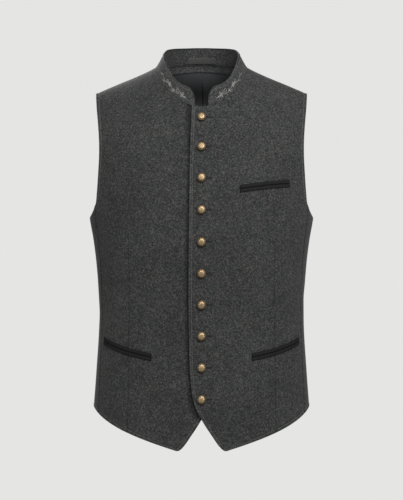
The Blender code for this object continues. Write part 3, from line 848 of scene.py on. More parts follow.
def painted_light_toned(tree, colour):
    """A colour times one plus the mesh's own nap_tone, which is zero on plain cloth."""
    nap_tone = add(tree, "ShaderNodeAttribute", attribute_name="nap_tone").outputs["Fac"]
    kept = add(tree, "ShaderNodeMath", {0: nap_tone, 1: 1.0}, operation="ADD").outputs[0]
    return add(tree, "ShaderNodeVectorMath", {0: colour, "Scale": kept}, operation="SCALE").outputs[0]


def colour_of(name):
    return tuple(getattr(bpy.context.scene.vest_colours, name))


def once(build):
    """Keeps a material after its first use."""
    def kept():
        found = bpy.data.materials.get(build.__doc__.split(".")[0])
        return found or build()
    return kept


@once
def milled_wool():
    """Milled melange wool. Dark and light fibres felted together give a soft speckle, a short
    nap with a faint sheen and no gloss."""
    material, tree, shader = new_material("Milled melange wool")
    place = add(tree, "ShaderNodeTexCoord").outputs["Object"]
    # Fibre bundles of 2 to 3 mm, which is as fine as the picture can show
    bundles = add(
        tree, "ShaderNodeTexNoise",
        {"Vector": place, "Scale": 400.0, "Detail": 3.0, "Roughness": 0.6, "Distortion": 0.8},
    )
    # Single flecks of about 1 mm
    flecks = add(
        tree, "ShaderNodeTexNoise", {"Vector": place, "Scale": 900.0, "Detail": 2.0, "Roughness": 0.7}
    )
    # Clouds of 60 mm from uneven milling
    clouds = add(tree, "ShaderNodeTexNoise", {"Vector": place, "Scale": 16.0, "Detail": 2.0})
    mixed = add(
        tree, "ShaderNodeMath", {0: bundles.outputs["Fac"], 1: 0.68}, operation="MULTIPLY"
    ).outputs[0]
    fine = add(
        tree, "ShaderNodeMath", {0: flecks.outputs["Fac"], 1: 0.24, 2: mixed}, operation="MULTIPLY_ADD"
    ).outputs[0]
    speckle = add(
        tree, "ShaderNodeMath", {0: clouds.outputs["Fac"], 1: 0.08, 2: fine}, operation="MULTIPLY_ADD"
    ).outputs[0]
    tone = ramp(
        tree, speckle,
        [(0.41, colour_of("wool_dark")), (0.50, colour_of("wool")), (0.60, colour_of("wool_light"))],
    )
    # Patches of 12 mm lean a little to light or dark, to green or to brown
    lots = add(tree, "ShaderNodeTexNoise", {"Vector": place, "Scale": 80.0, "Detail": 1.0})
    tint = ramp(tree, lots.outputs["Fac"], [(0.36, (0.825, 0.857, 0.866)), (0.64, (1.00, 0.944, 0.995))])
    tinted = add(
        tree, "ShaderNodeMix", {0: 1.0, 6: tone, 7: tint}, data_type="RGBA", blend_type="MULTIPLY"
    )
    # The mesh's tone paints shade beside the overlapping edge, in seams and darts and along the collar's fold,
    # and paints light on the facing, the collar and the upper front's edge
    tree.links.new(painted_light_toned(tree, tinted.outputs[2]), shader.inputs["Base Color"])
    # Fibres 0.6 mm apart raise the nap
    nap = add(
        tree, "ShaderNodeTexNoise", {"Vector": place, "Scale": 1500.0, "Detail": 2.0, "Roughness": 0.6}
    )
    height = add(
        tree, "ShaderNodeMath", {0: nap.outputs["Fac"], 1: 0.35, 2: bundles.outputs["Fac"]},
        operation="MULTIPLY_ADD",
    )
    bump = add(
        tree, "ShaderNodeBump", {"Strength": 0.45, "Distance": 0.0006, "Height": height.outputs[0]}
    )
    tree.links.new(bump.outputs["Normal"], shader.inputs["Normal"])
    shader.inputs["Roughness"].default_value = 0.92
    shader.inputs["Specular IOR Level"].default_value = 0.12
    shader.inputs["Sheen Weight"].default_value = 0.028
    shader.inputs["Sheen Roughness"].default_value = 0.55
    return material


@once
def satin_lining():
    """Viscose satin lining. Fine long floats give a soft gloss across the threads."""
    material, tree, shader = new_material("Viscose satin lining")
    mapped = add(tree, "ShaderNodeUVMap", uv_map="cloth").outputs["UV"]
    # Warp threads, drawn 1.2 mm apart so that they show at all; real ones are 0.15 mm
    threads = add(
        tree, "ShaderNodeTexWave", {"Vector": mapped, "Scale": 833 / 6.2832, "Distortion": 1.2, "Detail": 1.0},
        bands_direction="X",
    )
    tone = ramp(
        tree, threads.outputs["Fac"],
        [(0.0, tuple(0.86 * c for c in colour_of("lining"))), (1.0, colour_of("lining"))],
    )
    # Painted light and shade: the satin is painted paler at the neck and darker deep inside, by height
    place = add(tree, "ShaderNodeTexCoord").outputs["Object"]
    height = add(tree, "ShaderNodeSeparateXYZ", {"Vector": place}).outputs["Z"]
    rise = add(tree, "ShaderNodeMapRange", {0: height, 1: -0.062, 2: 0.004}).outputs[0]
    bloom = add(tree, "ShaderNodeMath", {0: rise, 1: 3.3}, operation="POWER").outputs[0]
    # Painted light below the facing's seam, less above it, where the facing covers the lining
    seam = add(tree, "ShaderNodeMapRange", {0: height, 1: 0.0055, 2: 0.0065, 3: 2.9, 4: 0.75}).outputs[0]
    painted_light_share = add(tree, "ShaderNodeMath", {0: bloom, 1: seam}, operation="MULTIPLY").outputs[0]
    painted_light_kept = add(tree, "ShaderNodeMath", {0: painted_light_share, 1: 0.14}, operation="MAXIMUM").outputs[0]
    painted_light_lining = add(tree, "ShaderNodeVectorMath", {0: tone, "Scale": painted_light_kept}, operation="SCALE")
    tree.links.new(painted_light_lining.outputs[0], shader.inputs["Base Color"])
    bump = add(
        tree, "ShaderNodeBump", {"Strength": 0.15, "Distance": 0.0001, "Height": threads.outputs["Fac"]}
    )
    tree.links.new(bump.outputs["Normal"], shader.inputs["Normal"])
    shader.inputs["Roughness"].default_value = 0.46
    shader.inputs["Specular IOR Level"].default_value = 0.30
    return material


@once
def woven_tape():
    """Woven cotton tape. Fine ribs across its length give it a dull, even face."""
    material, tree, shader = new_material("Woven cotton tape")
    mapped = add(tree, "ShaderNodeUVMap", uv_map="cloth").outputs["UV"]
    # Ribs 1 mm apart
    ribs = add(
        tree, "ShaderNodeTexWave", {"Vector": mapped, "Scale": 1000 / 6.2832, "Distortion": 0.6},
        bands_direction="X",
    )
    tone = ramp(
        tree, ribs.outputs["Fac"],
        [(0.0, tuple(0.8 * c for c in colour_of("tape"))), (1.0, colour_of("tape"))],
    )
    tree.links.new(tone, shader.inputs["Base Color"])
    shader.inputs["Roughness"].default_value = 0.75
    return material


@once
def felted_trim():
    """Near-black felted wool. Dense felt swallows the light and shows only a dull bloom."""
    material, tree, shader = new_material("Near-black felted wool")
    place = add(tree, "ShaderNodeTexCoord").outputs["Object"]
    fibres = add(
        tree, "ShaderNodeTexNoise", {"Vector": place, "Scale": 700.0, "Detail": 3.0, "Roughness": 0.6}
    )
    base = colour_of("trim")
    tone = ramp(
        tree, fibres.outputs["Fac"],
        [(0.3, tuple(0.6 * c for c in base)), (0.7, tuple(1.5 * c for c in base))],
    )
    # The mesh's tone paints shade along the lips' slits, edges and ends
    tree.links.new(painted_light_toned(tree, tone), shader.inputs["Base Color"])
    bump = add(
        tree, "ShaderNodeBump", {"Strength": 0.4, "Distance": 0.0003, "Height": fibres.outputs["Fac"]}
    )
    tree.links.new(bump.outputs["Normal"], shader.inputs["Normal"])
    shader.inputs["Roughness"].default_value = 0.95
    shader.inputs["Specular IOR Level"].default_value = 0.05
    return material


@once
def antique_brass():
    """Antique brass. Raised parts are rubbed bright and the hollows keep their brown patina."""
    material, tree, shader = new_material("Antique brass")
    place = add(tree, "ShaderNodeTexCoord").outputs["Object"]
    relief = add(tree, "ShaderNodeAttribute", attribute_name="relief").outputs["Fac"]
    # Tarnish spots of about 1.5 mm
    spots = add(tree, "ShaderNodeTexNoise", {"Vector": place, "Scale": 650.0, "Detail": 3.0})
    wear_and_highlight = add(
        tree, "ShaderNodeMath", {0: spots.outputs["Fac"], 1: 0.5, 2: relief}, operation="MULTIPLY_ADD"
    ).outputs[0]
    bright = colour_of("brass")
    tone = ramp(
        tree, wear_and_highlight,
        [(0.25, tuple(0.22 * c for c in bright)), (0.70, tuple(0.50 * c for c in bright)), (1.0, tuple(0.85 * c for c in bright))],
    )
    tree.links.new(tone, shader.inputs["Base Color"])
    rough = add(
        tree, "ShaderNodeMapRange", {0: wear_and_highlight, 1: 0.3, 2: 1.0, 3: 0.62, 4: 0.48}
    )
    tree.links.new(rough.outputs[0], shader.inputs["Roughness"])
    shader.inputs["Metallic"].default_value = 1.0
    return material


@once
def sewing_thread():
    """Polyester sewing thread. Tone on tone with the wool, with a dull twisted gloss."""
    material, tree, shader = new_material("Polyester sewing thread")
    place = add(tree, "ShaderNodeTexCoord").outputs["Object"]
    # Twist of the thread, about 0.5 mm
    twist = add(tree, "ShaderNodeTexNoise", {"Vector": place, "Scale": 1900.0, "Detail": 1.0})
    base = colour_of("thread")
    tone = ramp(
        tree, twist.outputs["Fac"], [(0.35, tuple(0.7 * c for c in base)), (0.65, tuple(1.25 * c for c in base))]
    )
    tree.links.new(tone, shader.inputs["Base Color"])
    shader.inputs["Roughness"].default_value = 0.6
    return material


@once
def buttonhole_twist():
    """Buttonhole twist. A dull, tightly twisted thread, a shade darker than the wool."""
    material, tree, shader = new_material("Buttonhole twist")
    shader.inputs["Base Color"].default_value = (*colour_of("twist"), 1)
    shader.inputs["Roughness"].default_value = 0.8
    shader.inputs["Specular IOR Level"].default_value = 0.15
    return material


@once
def embroidery_thread():
    """Mercerised embroidery thread. Laid satin stitches, light grey with a soft gloss."""
    material, tree, shader = new_material("Mercerised embroidery thread")
    place = add(tree, "ShaderNodeTexCoord").outputs["Object"]
    # Strands about 0.4 mm apart
    strands = add(tree, "ShaderNodeTexNoise", {"Vector": place, "Scale": 2400.0, "Detail": 1.0})
    base = colour_of("silk")
    tone = ramp(
        tree, strands.outputs["Fac"], [(0.35, tuple(0.55 * c for c in base)), (0.62, base)]
    )
    tree.links.new(tone, shader.inputs["Base Color"])
    bump = add(
        tree, "ShaderNodeBump", {"Strength": 0.4, "Distance": 0.0001, "Height": strands.outputs["Fac"]}
    )
    tree.links.new(bump.outputs["Normal"], shader.inputs["Normal"])
    shader.inputs["Roughness"].default_value = 0.42
    return material


def flat_map(points):
    """The cloth's own map in metres: distance along the rows, height along the columns."""
    middle = points.shape[1] // 2
    across = runs(points, 1)
    across = across - across[:, middle : middle + 1]
    up = runs(points, 0)
    return np.stack([across, up], -1)


def area_of(points, keep=None):
    """Area of a grid's cells, each as two triangles."""
    first = np.cross(points[1:, 1:] - points[:-1, :-1], points[1:, :-1] - points[:-1, 1:])
    cell = np.linalg.norm(first, axis=-1) / 2
    return float(cell.sum() if keep is None else cell[keep].sum())


def cut_of(points, keep=None):
    """Width, length and area of the flat cut that makes a grid of cloth."""
    across = runs(points, 1)[:, -1].max()
    up = runs(points, 0)[-1].max()
    return float(across), float(up), area_of(points, keep)


def declare_cloth(points, keep=None):
    width, length, area = cut_of(points, keep)


def overlap_dip(x, height):
    """How far the right front sinks beside the edge that lies over it.

    A bell across the edge's line, wider and deeper near the neck and the notch.
    """
    line = -from_table(EDGE, EDGE_COLUMNS, "height", "x", height)
    open_ends = blend(height, -0.150, -0.085) + blend(height, -0.530, -0.590)
    width = DIP_WIDTH * (1 + 0.8 * open_ends)
    depth = DIP_DEPTH * (1 + 0.5 * open_ends)
    return depth * bell(x, line + DIP_OFFSET, width) * blend(height, -0.612, -0.598)


class VEST_OT_fronts(bpy.types.Operator):
    """Makes both fronts, with their darts and the rolls beside their stitched edges"""

    bl_idname = "vest.fronts"
    bl_label = "Fronts"

    def execute(self, context):
        for name, side in (("front_left", 1), ("front_right", -1)):
            face, normals, x, height = front_face(side)
            across, up, arm = edge_distance(face, len(BELOW))
            relief = sewn(across) + sewn(up) + sewn(arm)
            along_dart = np.abs(across - across[:, [np.argmin(np.abs(FRONT_CELLS - DART_SHARE))]])
            below_top = blend(height, DART_TOP, DART_TOP - 0.03)
            if side > 0:
                relief = relief + EDGE_ROLL * bell(across, 0.0025, 0.0020)
                # Painted highlight along the upper front's edge
                wear_and_highlight = bell(across, 0.0018, 0.0014)
            else:
                relief = relief - overlap_dip(x, height)
            relief = relief - context.scene.vest_sizes.dart_sink * bell(along_dart, 0, 0.0010) * below_top
            side_seam = across[:, -1:] - across
            side_seam[len(BELOW) :] = 1.0
            relief = relief - SEAM_SINK * bell(side_seam, 0, SEAM_WIDTH)
            # Painted shade in the side seam's groove
            tone = SEAM_TONE * bell(side_seam, 0, SEAM_WIDTH)
            # Painted shade in the dart's groove
            tone = tone + DART_TONE * bell(along_dart, 0, 0.0010) * below_top
            if side > 0:
                # Painted highlight along the upper front's edge
                tone = tone + EDGE_TONE * wear_and_highlight
            else:
                # Painted shade on the lower front, in its dip beside the edge that lies over it
                tone = tone + PAINTED_SHADE_TONE * np.clip(overlap_dip(x, height) / DIP_DEPTH, 0, 1)
            outer = face + normals * relief[..., None]
            inner = face - normals * WOOL
            uv = with_value(flat_map(face), tone)
            if side < 0:
                outer, inner = (part[:, ::-1] * (-1, 1, 1) for part in (outer, inner))
                uv = uv[:, ::-1] * (-1, 1, 1)
            points, faces, places = wall(outer, inner, uv)
            piece = make_piece(
                name + "_cloth", points, faces, milled_wool(), [name], places[:, :2],
                [("nap_tone", places[:, 2])],
            )
            declare_cloth(face)
        return {"FINISHED"}


class VEST_OT_back(bpy.types.Operator):
    """Makes the back, its lining with a centre pleat and the facing inside the neck"""

    bl_idname = "vest.back"
    bl_label = "Back and lining"

    def execute(self, context):
        face, normals, keep = back_face()
        uv = flat_map(face)
        arm_column = int(np.argmin(np.abs(BACK_CELLS - 1)))
        half = len(BACK_CELLS) - 1
        across = runs(face, 1)
        up = runs(face, 0)
        arm = np.minimum(
            across - across[:, [half - arm_column]], across[:, [half + arm_column]] - across
        )
        arm[: len(BELOW) - 1] = 1.0
        scye = np.full(arm.shape, 1.0)
        low = slice(0, len(BELOW))
        scye[low] = up[len(BELOW) - 1] - up[low]
        scye[:, half - arm_column + 1 : half + arm_column] = 1.0
        x = face[..., 0]
        side_seam = np.minimum(across, across[:, -1:] - across)
        side_seam[len(BELOW) :] = 1.0
        seam = bell(side_seam, 0, SEAM_WIDTH) + bell(x, 0, SEAM_WIDTH)
        relief = sewn(up) + sewn(arm) + sewn(scye) - SEAM_SINK * seam

        def layer(depth):
            return (face - normals * np.asarray(depth)[..., None])[:, ::-1]

        on_left = np.arange(keep.shape[1]) >= half
        for name, own, columns in (
            ("back_left", on_left, slice(half, None)), ("back_right", ~on_left, slice(0, half + 1))
        ):
            # Painted shade in the grooves of the side seams and the centre back seam
            points, faces, places = wall(
                layer(-relief), layer(np.full(x.shape, WOOL)),
                with_value(uv, SEAM_TONE * seam)[:, ::-1], (keep & own)[:, ::-1],
            )
            piece = make_piece(
                name + "_cloth", points, faces, milled_wool(), [name], places[:, :2],
                [("nap_tone", places[:, 2])],
            )
            declare_cloth(face[:, columns], keep=keep[:, own])

        swell = blend(x, PLEAT_FOLD_X + PLEAT_SWELL, PLEAT_FOLD_X + PLEAT_STEP)
        swell = swell * blend(x, PLEAT_FOLD_X, PLEAT_FOLD_X + PLEAT_STEP)
        ripple = 0.3 * bell(x, -0.030, 0.008) + 0.35 * bell(x, 0.026, 0.007) - 0.2 * bell(x, 0.045, 0.01)
        pleat = PLEAT_DEPTH * blend(face[..., 2], PLEAT_TOP, PLEAT_OPEN) * (swell + ripple)
        lining_out = WOOL + SEAM_GAP
        lining_in = lining_out + LINING
        points, faces, places = wall(
            layer(np.full(x.shape, lining_out)), layer(lining_in + pleat), uv[:, ::-1], keep[:, ::-1]
        )
        piece = make_piece(
            "back_lining_cloth", points, faces, satin_lining(), ["back_lining"], places
        )
        declare_cloth(face, keep=keep)

        strip_rows = np.concatenate([[0.0], np.linspace(FACING_START, FACING_END, 13)])
        grid = back_grid(shares=cells((0, BACK_NECK_SHARE, 40)), above=strip_rows[1:])
        x, height = grid[0][len(BELOW) :], grid[1][len(BELOW) :]
        # A gap g below the ridge becomes (g + root of g squared plus 4 clear squared) / 2, so
        # that it never closes
        gap = ridge(x) - height
        height = ridge(x) - (gap + np.sqrt(gap**2 + 4 * FACING_CLEAR**2)) / 2
        behind, away = form(x, height, 1)
        deep = lining_in + SEAM_GAP
        outer = (behind - away * deep)[:, ::-1]
        inner = (behind - away * (deep + FACING))[:, ::-1]
        from_seam = runs(outer, 0)[-1:] - runs(outer, 0)
        # Painted light over the whole facing, and painted shade along its top edge
        tone = FACING_TONE + (PAINTED_SHADE_TONE - FACING_TONE) * bell(from_seam, 0, RIM_WIDTH)
        points, faces, places = wall(outer, inner, with_value(flat_map(outer), tone))
        piece = make_piece(
            "neck_facing_cloth", points, faces, milled_wool(), ["neck_facing"], places[:, :2],
            [("nap_tone", places[:, 2])],
        )
        declare_cloth(outer)
        return {"FINISHED"}


def neck_edge():
    """The neckline seam from the right front round the back to the left front.

    Columns of edge point, cloth normal and the turn from the middle of the back.
    """
    sides = []
    start = np.interp(COLLAR_SHARE, FRONT_CELLS, np.arange(len(FRONT_CELLS)))
    end = np.interp(NECK_SHARE, FRONT_CELLS, np.arange(len(FRONT_CELLS)))
    cell = np.linspace(start, end, 90)
    share = np.interp(cell, np.arange(len(FRONT_CELLS)), FRONT_CELLS)
    turn = np.interp(share, *(column(NECK_TURNS, NECK_COLUMNS, name) for name in NECK_COLUMNS))
    x, height = front_neckline(turn)
    points, normals = form(x, height, -1)
    for side in (-1, 1):
        lift = lift_of(x) if side > 0 else np.zeros_like(x)
        mirror = np.array((side, 1, 1))
        sides.append(((points + normals * lift[:, None]) * mirror, normals * mirror, (180 - turn) * side))
    back_turn = np.linspace(-90, 90, 121)[1:-1]
    angle = np.radians(back_turn)
    behind, away = form(
        NECK_HALF_WIDTH * np.sin(angle), NECK_BACK_RISE * np.cos(angle) ** NECK_BACK_POWER, 1
    )
    edge = np.concatenate([sides[0][0], behind, sides[1][0][::-1]])
    normal = np.concatenate([sides[0][1], away, sides[1][1][::-1]])
    turn = np.concatenate([sides[0][2], back_turn, sides[1][2][::-1]])
    return edge, normal, turn


def collar_face(columns=240, rows=22):
    """Outer face of the collar, the directions across it, and the distance along it.

    A column is a quadratic curve that leaves the neckline in the cloth and rises to the
    top edge. At both ends its height follows a quarter circle.
    """
    edge, normal, turn = neck_edge()
    length = runs(edge[None], 1)[0]
    t = np.linspace(0, 1, columns)
    at = length[-1] * (0.5 * t + 0.5 * (0.5 - 0.5 * np.cos(math.pi * t)))
    edge, normal = (
        np.stack([np.interp(at, length, part) for part in parts.T], -1) for parts in (edge, normal)
    )
    turn = np.interp(at, length, turn)
    leave = unit(np.cross(np.gradient(edge, axis=0), normal))
    rise = from_table(COLLAR_SHAPE, COLLAR_COLUMNS, "turn", "rise", np.abs(turn))
    lean = from_table(COLLAR_SHAPE, COLLAR_COLUMNS, "turn", "lean", np.abs(turn))
    inward = unit((np.array((0, NECK_AXIS_Y, 0)) - edge) * (1, 1, 0))
    start = edge + leave * 2 * SEAM_CLOSE
    bend = start + leave * COLLAR_FLARE
    top = edge + inward * lean[:, None] + np.outer(rise, (0, 0, 1))
    to_end = np.minimum(at, at[-1] - at)
    corner = np.clip(1 - to_end / COLLAR_END_ROUND, 0, 1)
    cut = COLLAR_END_ROUND * (1 - np.sqrt(1 - corner**2)) / rise
    share = np.linspace(0, 1, rows)[:, None, None] * (1 - cut)[None, :, None]
    outer = start * (1 - share) ** 2 + bend * 2 * share * (1 - share) + top * share**2
    across = unit(np.cross(np.gradient(outer, axis=0), np.gradient(outer, axis=1)))
    across[0] = normal
    return outer, across, at


class VEST_OT_collar(bpy.types.Operator):
    """Makes the standing collar and the bare tape inside it"""

    bl_idname = "vest.collar"
    bl_label = "Collar"

    def execute(self, context):
        outer, across, at = collar_face()
        up = runs(outer, 0)
        from_top = up[-1:] - up
        relief = sewn(from_top)
        face = outer + across * relief[..., None]
        inner = outer - across * COLLAR
        # Painted shade along the collar's top fold, fading out towards its front ends
        rim = bell(from_top, 0, COLLAR_RIM) * blend(np.minimum(at, at[-1] - at), 0.075, 0.115)
        # Painted light over the whole collar
        uv = with_value(flat_map(outer), COLLAR_TONE + (RIM_TONE - COLLAR_TONE) * rim)
        points, faces, places = wall(face[:, ::-1], inner[:, ::-1], uv[:, ::-1])
        piece = make_piece(
            "collar_cloth", points, faces, milled_wool(), ["collar"], places[:, :2],
            [("nap_tone", places[:, 2])],
        )
        declare_cloth(
            outer,
        )

        middle = at[-1] / 2
        cell = np.interp(
            np.linspace(middle - TAPE_HALF_WIDTH, middle + TAPE_HALF_WIDTH, 41), at, np.arange(len(at))
        )
        row = np.linspace(*TAPE_SPAN, 13) * (len(outer) - 1)
        row, cell = np.meshgrid(row, cell, indexing="ij")
        base, away = sample(inner, row, cell), -unit(sample(across, row, cell))
        near, far = base + away * REST_GAP, base + away * (REST_GAP + TAPE)
        points, faces, places = wall(near[:, ::-1], far[:, ::-1], flat_map(near)[:, ::-1])
        piece = make_piece("neck_tape_cloth", points, faces, woven_tape(), ["neck_tape"], places)
        declare_cloth(near)
        return {"FINISHED"}


def on_front(x, height, side, lift=0.0):
    """Points and normals on a front's outer face, moved out by lift."""
    points, normals = form(np.abs(x), height, -1)
    mirror = np.array((side, 1, 1))
    rise = creases(points * mirror) + lift
    if side > 0:
        rise = rise + lift_of(np.abs(x))
    return (points + normals * np.asarray(rise)[..., None]) * mirror, normals * mirror


class VEST_OT_pockets(bpy.types.Operator):
    """Makes the two rounded lips of each pocket"""

    bl_idname = "vest.pockets"
    bl_label = "Pocket lips"

    def execute(self, context):
        for name, (side, inner_x, inner_height, outer_x, outer_height) in POCKETS.items():
            x = np.linspace(inner_x, outer_x, 61)
            length = runs(form(x, inner_height, -1)[0][None], 1)[0]
            along = length / length[-1]
            bow = POCKET_BOW[name] * 4 * along * (1 - along)
            height = inner_height + (outer_height - inner_height) * along + bow
            for part, way in (("upper", 1), ("lower", -1)):
                share = np.linspace(0, 1, 15)[:, None]
                offset = way * (LIP_SLIT / 2 + LIP_HEIGHT * share)
                swell = LIP_EDGE + (1 - LIP_EDGE) * np.sqrt(1 - (2 * share - 1) ** 2)
                under = on_front(*np.broadcast_arrays(x, height + offset), side, REST_GAP)[0]
                over = on_front(
                    *np.broadcast_arrays(x, height + offset), side, REST_GAP + LIP_THICKNESS * swell
                )[0]
                if way * side < 0:
                    under, over = under[::-1], over[::-1]
                node = f"{name}_{part}"
                from_end = np.minimum(along, 1 - along) * length[-1]
                # Painted shade along the lip's slit, outer edge and ends
                dark = bell(share, 0, 0.12) + bell(share, 1, 0.10) + bell(from_end, 0, 0.0007)
                dark = LIP_TONE * np.clip(dark, 0, 1)
                if way * side < 0:
                    dark = dark[::-1]
                points, faces, places = wall(over, under, with_value(flat_map(over), dark), pull=0.0)
                piece = make_piece(
                    node + "_lip", points, faces, felted_trim(), [node], places[:, :2],
                    [("nap_tone", places[:, 2])],
                )
                width = max(runs(under, 0)[-1].max(), 0.01)
                long = runs(under, 1)[:, -1].max()
        return {"FINISHED"}


def rosette(share, angle):
    """Relief of a button's dome from 0 to 1: a boss, pointed petals and a rope rim."""
    boss = bell(share, 0, 0.13)
    petal = np.abs(np.cos(PETALS / 2 * angle)) ** 0.7
    leaf = petal * blend(share, 0.16, 0.30) * blend(share, 0.78, 0.60)
    rope = (0.5 + 0.5 * np.cos(ROPE_LOBES * angle)) * bell(share, 0.90, 0.06)
    return np.clip(boss + leaf + 0.8 * rope, 0, 1)


class VEST_OT_buttons(bpy.types.Operator):
    """Makes the domed buttons with their rosettes"""

    bl_idname = "vest.buttons"
    bl_label = "Buttons"

    def execute(self, context):
        depth = context.scene.vest_sizes.button_relief
        angle = np.linspace(0, 2 * math.pi, 60, endpoint=False)
        dome = np.linspace(1.0, 0.04, 22)
        under = np.array(BUTTON_FOOT)[1:]
        crown = BUTTON_CROWN - depth
        top = BUTTON_RIM + (crown - BUTTON_RIM) * np.sqrt(1 - dome**2.2)
        share = np.concatenate([under[:, 0], dome])[:, None] * np.ones_like(angle)
        raised = rosette(dome[:, None], angle)
        raised = np.concatenate([np.zeros((len(under), len(angle))), raised])
        height = np.concatenate([under[:, 1], top])[:, None] + depth * raised
        for number in range(1, BUTTONS + 1):
            low, high = (np.array(corner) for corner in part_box(f"button_{number}"))
            middle = (low + high) / 2
            point, normal = on_front(np.array(0.0), np.array(middle[2]), 1, SEAM_GAP)
            side = unit(np.cross(normal, (0.0, 0.0, 1.0)))
            up = np.cross(side, normal)
            spin = angle + number * 0.7
            around = np.outer(np.cos(spin), side) + np.outer(np.sin(spin), up)
            rings = point + around * (BUTTON_RADIUS * share)[..., None] + normal * height[..., None]
            poles = [point, point + normal * (crown + depth)]
            points = np.concatenate([rings.reshape(-1, 3), poles])
            count, sides = len(share), len(angle)
            k = np.arange(sides)
            after = (k + 1) % sides
            low_ring = (np.arange(count - 1) * sides)[:, None]
            quads = np.stack(
                [low_ring + after, low_ring + k, low_ring + sides + k, low_ring + sides + after], -1
            ).reshape(-1, 4)
            last = (count - 1) * sides
            foot = np.stack([k, after, np.full(sides, count * sides)], -1)
            tip = np.stack([last + after, last + k, np.full(sides, count * sides + 1)], -1)
            faces = quads.tolist() + foot.tolist() + tip.tolist()
            relief = np.concatenate([raised.ravel(), [0, 1]])
            make_piece(
                f"button_{number}_brass", points, faces, antique_brass(), [f"button_{number}"],
                attributes=[("relief", relief)], sharp=75.0,
            )
        return {"FINISHED"}


def stitch_row(points, normals, pitch, width, length_share=0.68):
    """Stitches along a line: each a short flattened tube that dips in at both ends."""
    length = runs(points[None], 1)[0]
    count = int(length[-1] / pitch)
    start = (np.arange(count) + (1 - length_share) / 2) * pitch
    at = start[:, None] + np.linspace(0, length_share, 5) * pitch
    path = np.stack([np.interp(at, length, part) for part in points.T], -1)
    up = unit(np.stack([np.interp(at, length, part) for part in normals.T], -1))
    arch = np.sin(np.linspace(0, math.pi, 5)) * width * 0.7 - width * 0.15
    radius = width * np.array([0.6, 0.95, 1.0, 0.95, 0.6])
    return tubes(path + up * arch[:, None], up, radius, 0.75, 5)


def at_distance(points, normals, distance, inset, relief):
    """The line across a grid's rows where a distance that grows along them is inset."""
    below = np.clip((distance < inset).sum(axis=1) - 1, 0, points.shape[1] - 2)
    row = np.arange(len(points))
    near, far = distance[row, below], distance[row, below + 1]
    cell = below + np.clip((inset - near) / np.maximum(far - near, 1e-9), 0, 1)
    lifted = points + normals * relief[..., None]
    return sample(lifted, row.astype(float), cell), sample(normals, row.astype(float), cell)


class VEST_OT_stitching(bpy.types.Operator):
    """Sews the tone-on-tone stitching along the edges, the hem, the armholes and the collar"""

    bl_idname = "vest.stitching"
    bl_label = "Edge stitching"

    def execute(self, context):
        sizes = context.scene.vest_sizes
        inset, pitch = sizes.stitch_inset, sizes.stitch_pitch
        width = STITCH_WIDTH
        sink = -sizes.stitch_sink * 0.8
        for name, side in (("front_left", 1), ("front_right", -1)):
            face, normals, x, height = front_face(side)
            across, up, arm = edge_distance(face, len(BELOW))
            relief = np.full(x.shape, sink)
            mirror = np.array((side, 1, 1))
            rows = []
            line, out = at_distance(face, normals, across, inset, relief)
            clear = up[:, 0] > inset
            rows.append((line[clear], out[clear], width))
            turned = [part.swapaxes(0, 1) for part in (face, normals, up, relief)]
            line, out = at_distance(turned[0], turned[1], turned[2], inset, turned[3])
            clear = across[0] > inset
            rows.append((line[clear], out[clear], width * HEM_STITCH))
            flipped = [part[:, ::-1] for part in (face, normals, arm, relief)]
            line, out = at_distance(flipped[0], flipped[1], flipped[2], inset, flipped[3])
            rows.append((line[len(BELOW) - 1 :], out[len(BELOW) - 1 :], width))
            parts = [stitch_row(line * mirror, out * mirror, pitch, wide) for line, out, wide in rows]
            points, faces = joined(parts)
            make_piece(name + "_stitching", points, faces, sewing_thread())

        face, normals, keep = back_face()
        up = runs(face, 0)
        across = runs(face, 1)
        relief = np.full(up.shape, sink)
        turned = [part.swapaxes(0, 1) for part in (face, normals, up, relief)]
        rows = [at_distance(turned[0], turned[1], turned[2], inset, turned[3])]
        arm_column = int(np.argmin(np.abs(BACK_CELLS - 1)))
        half = len(BACK_CELLS) - 1
        high = slice(len(BELOW) - 1, None)
        inner = slice(half - arm_column, half + arm_column + 1)
        panel = [part[high, inner] for part in (face, normals, across, relief)]
        panel[2] = panel[2] - panel[2][:, :1]
        rows.append(at_distance(*panel[:2], panel[2], inset, panel[3]))
        other = [part[:, ::-1] for part in panel]
        other[2] = panel[2][:, -1:] - other[2]
        rows.append(at_distance(other[0], other[1], other[2], inset, other[3]))
        scye = up[len(BELOW) - 1] - up[: len(BELOW)]
        for columns in (slice(0, half - arm_column + 1), slice(half + arm_column, None)):
            strip = [part[: len(BELOW), columns][::-1].swapaxes(0, 1) for part in (face, normals)]
            fall = scye[:, columns][::-1].swapaxes(0, 1)
            rows.append(at_distance(*strip, fall, inset, np.full(fall.shape, sink)))
        points, faces = joined([stitch_row(line, out, pitch, width) for line, out in rows])
        make_piece("back_stitching", points, faces, sewing_thread())

        outer, away, at = collar_face()
        fall = runs(outer, 0)
        fall = (fall[-1:] - fall)[::-1].swapaxes(0, 1)
        strip = [part[::-1].swapaxes(0, 1) for part in (outer, away)]
        line, out = at_distance(*strip, fall, inset, np.full(fall.shape, sink))
        clear = (at > 0.004) & (at < at[-1] - 0.004)
        points, faces = stitch_row(line[clear], out[clear], pitch, width)
        make_piece("collar_stitching", points, faces, sewing_thread())
        return {"FINISHED"}


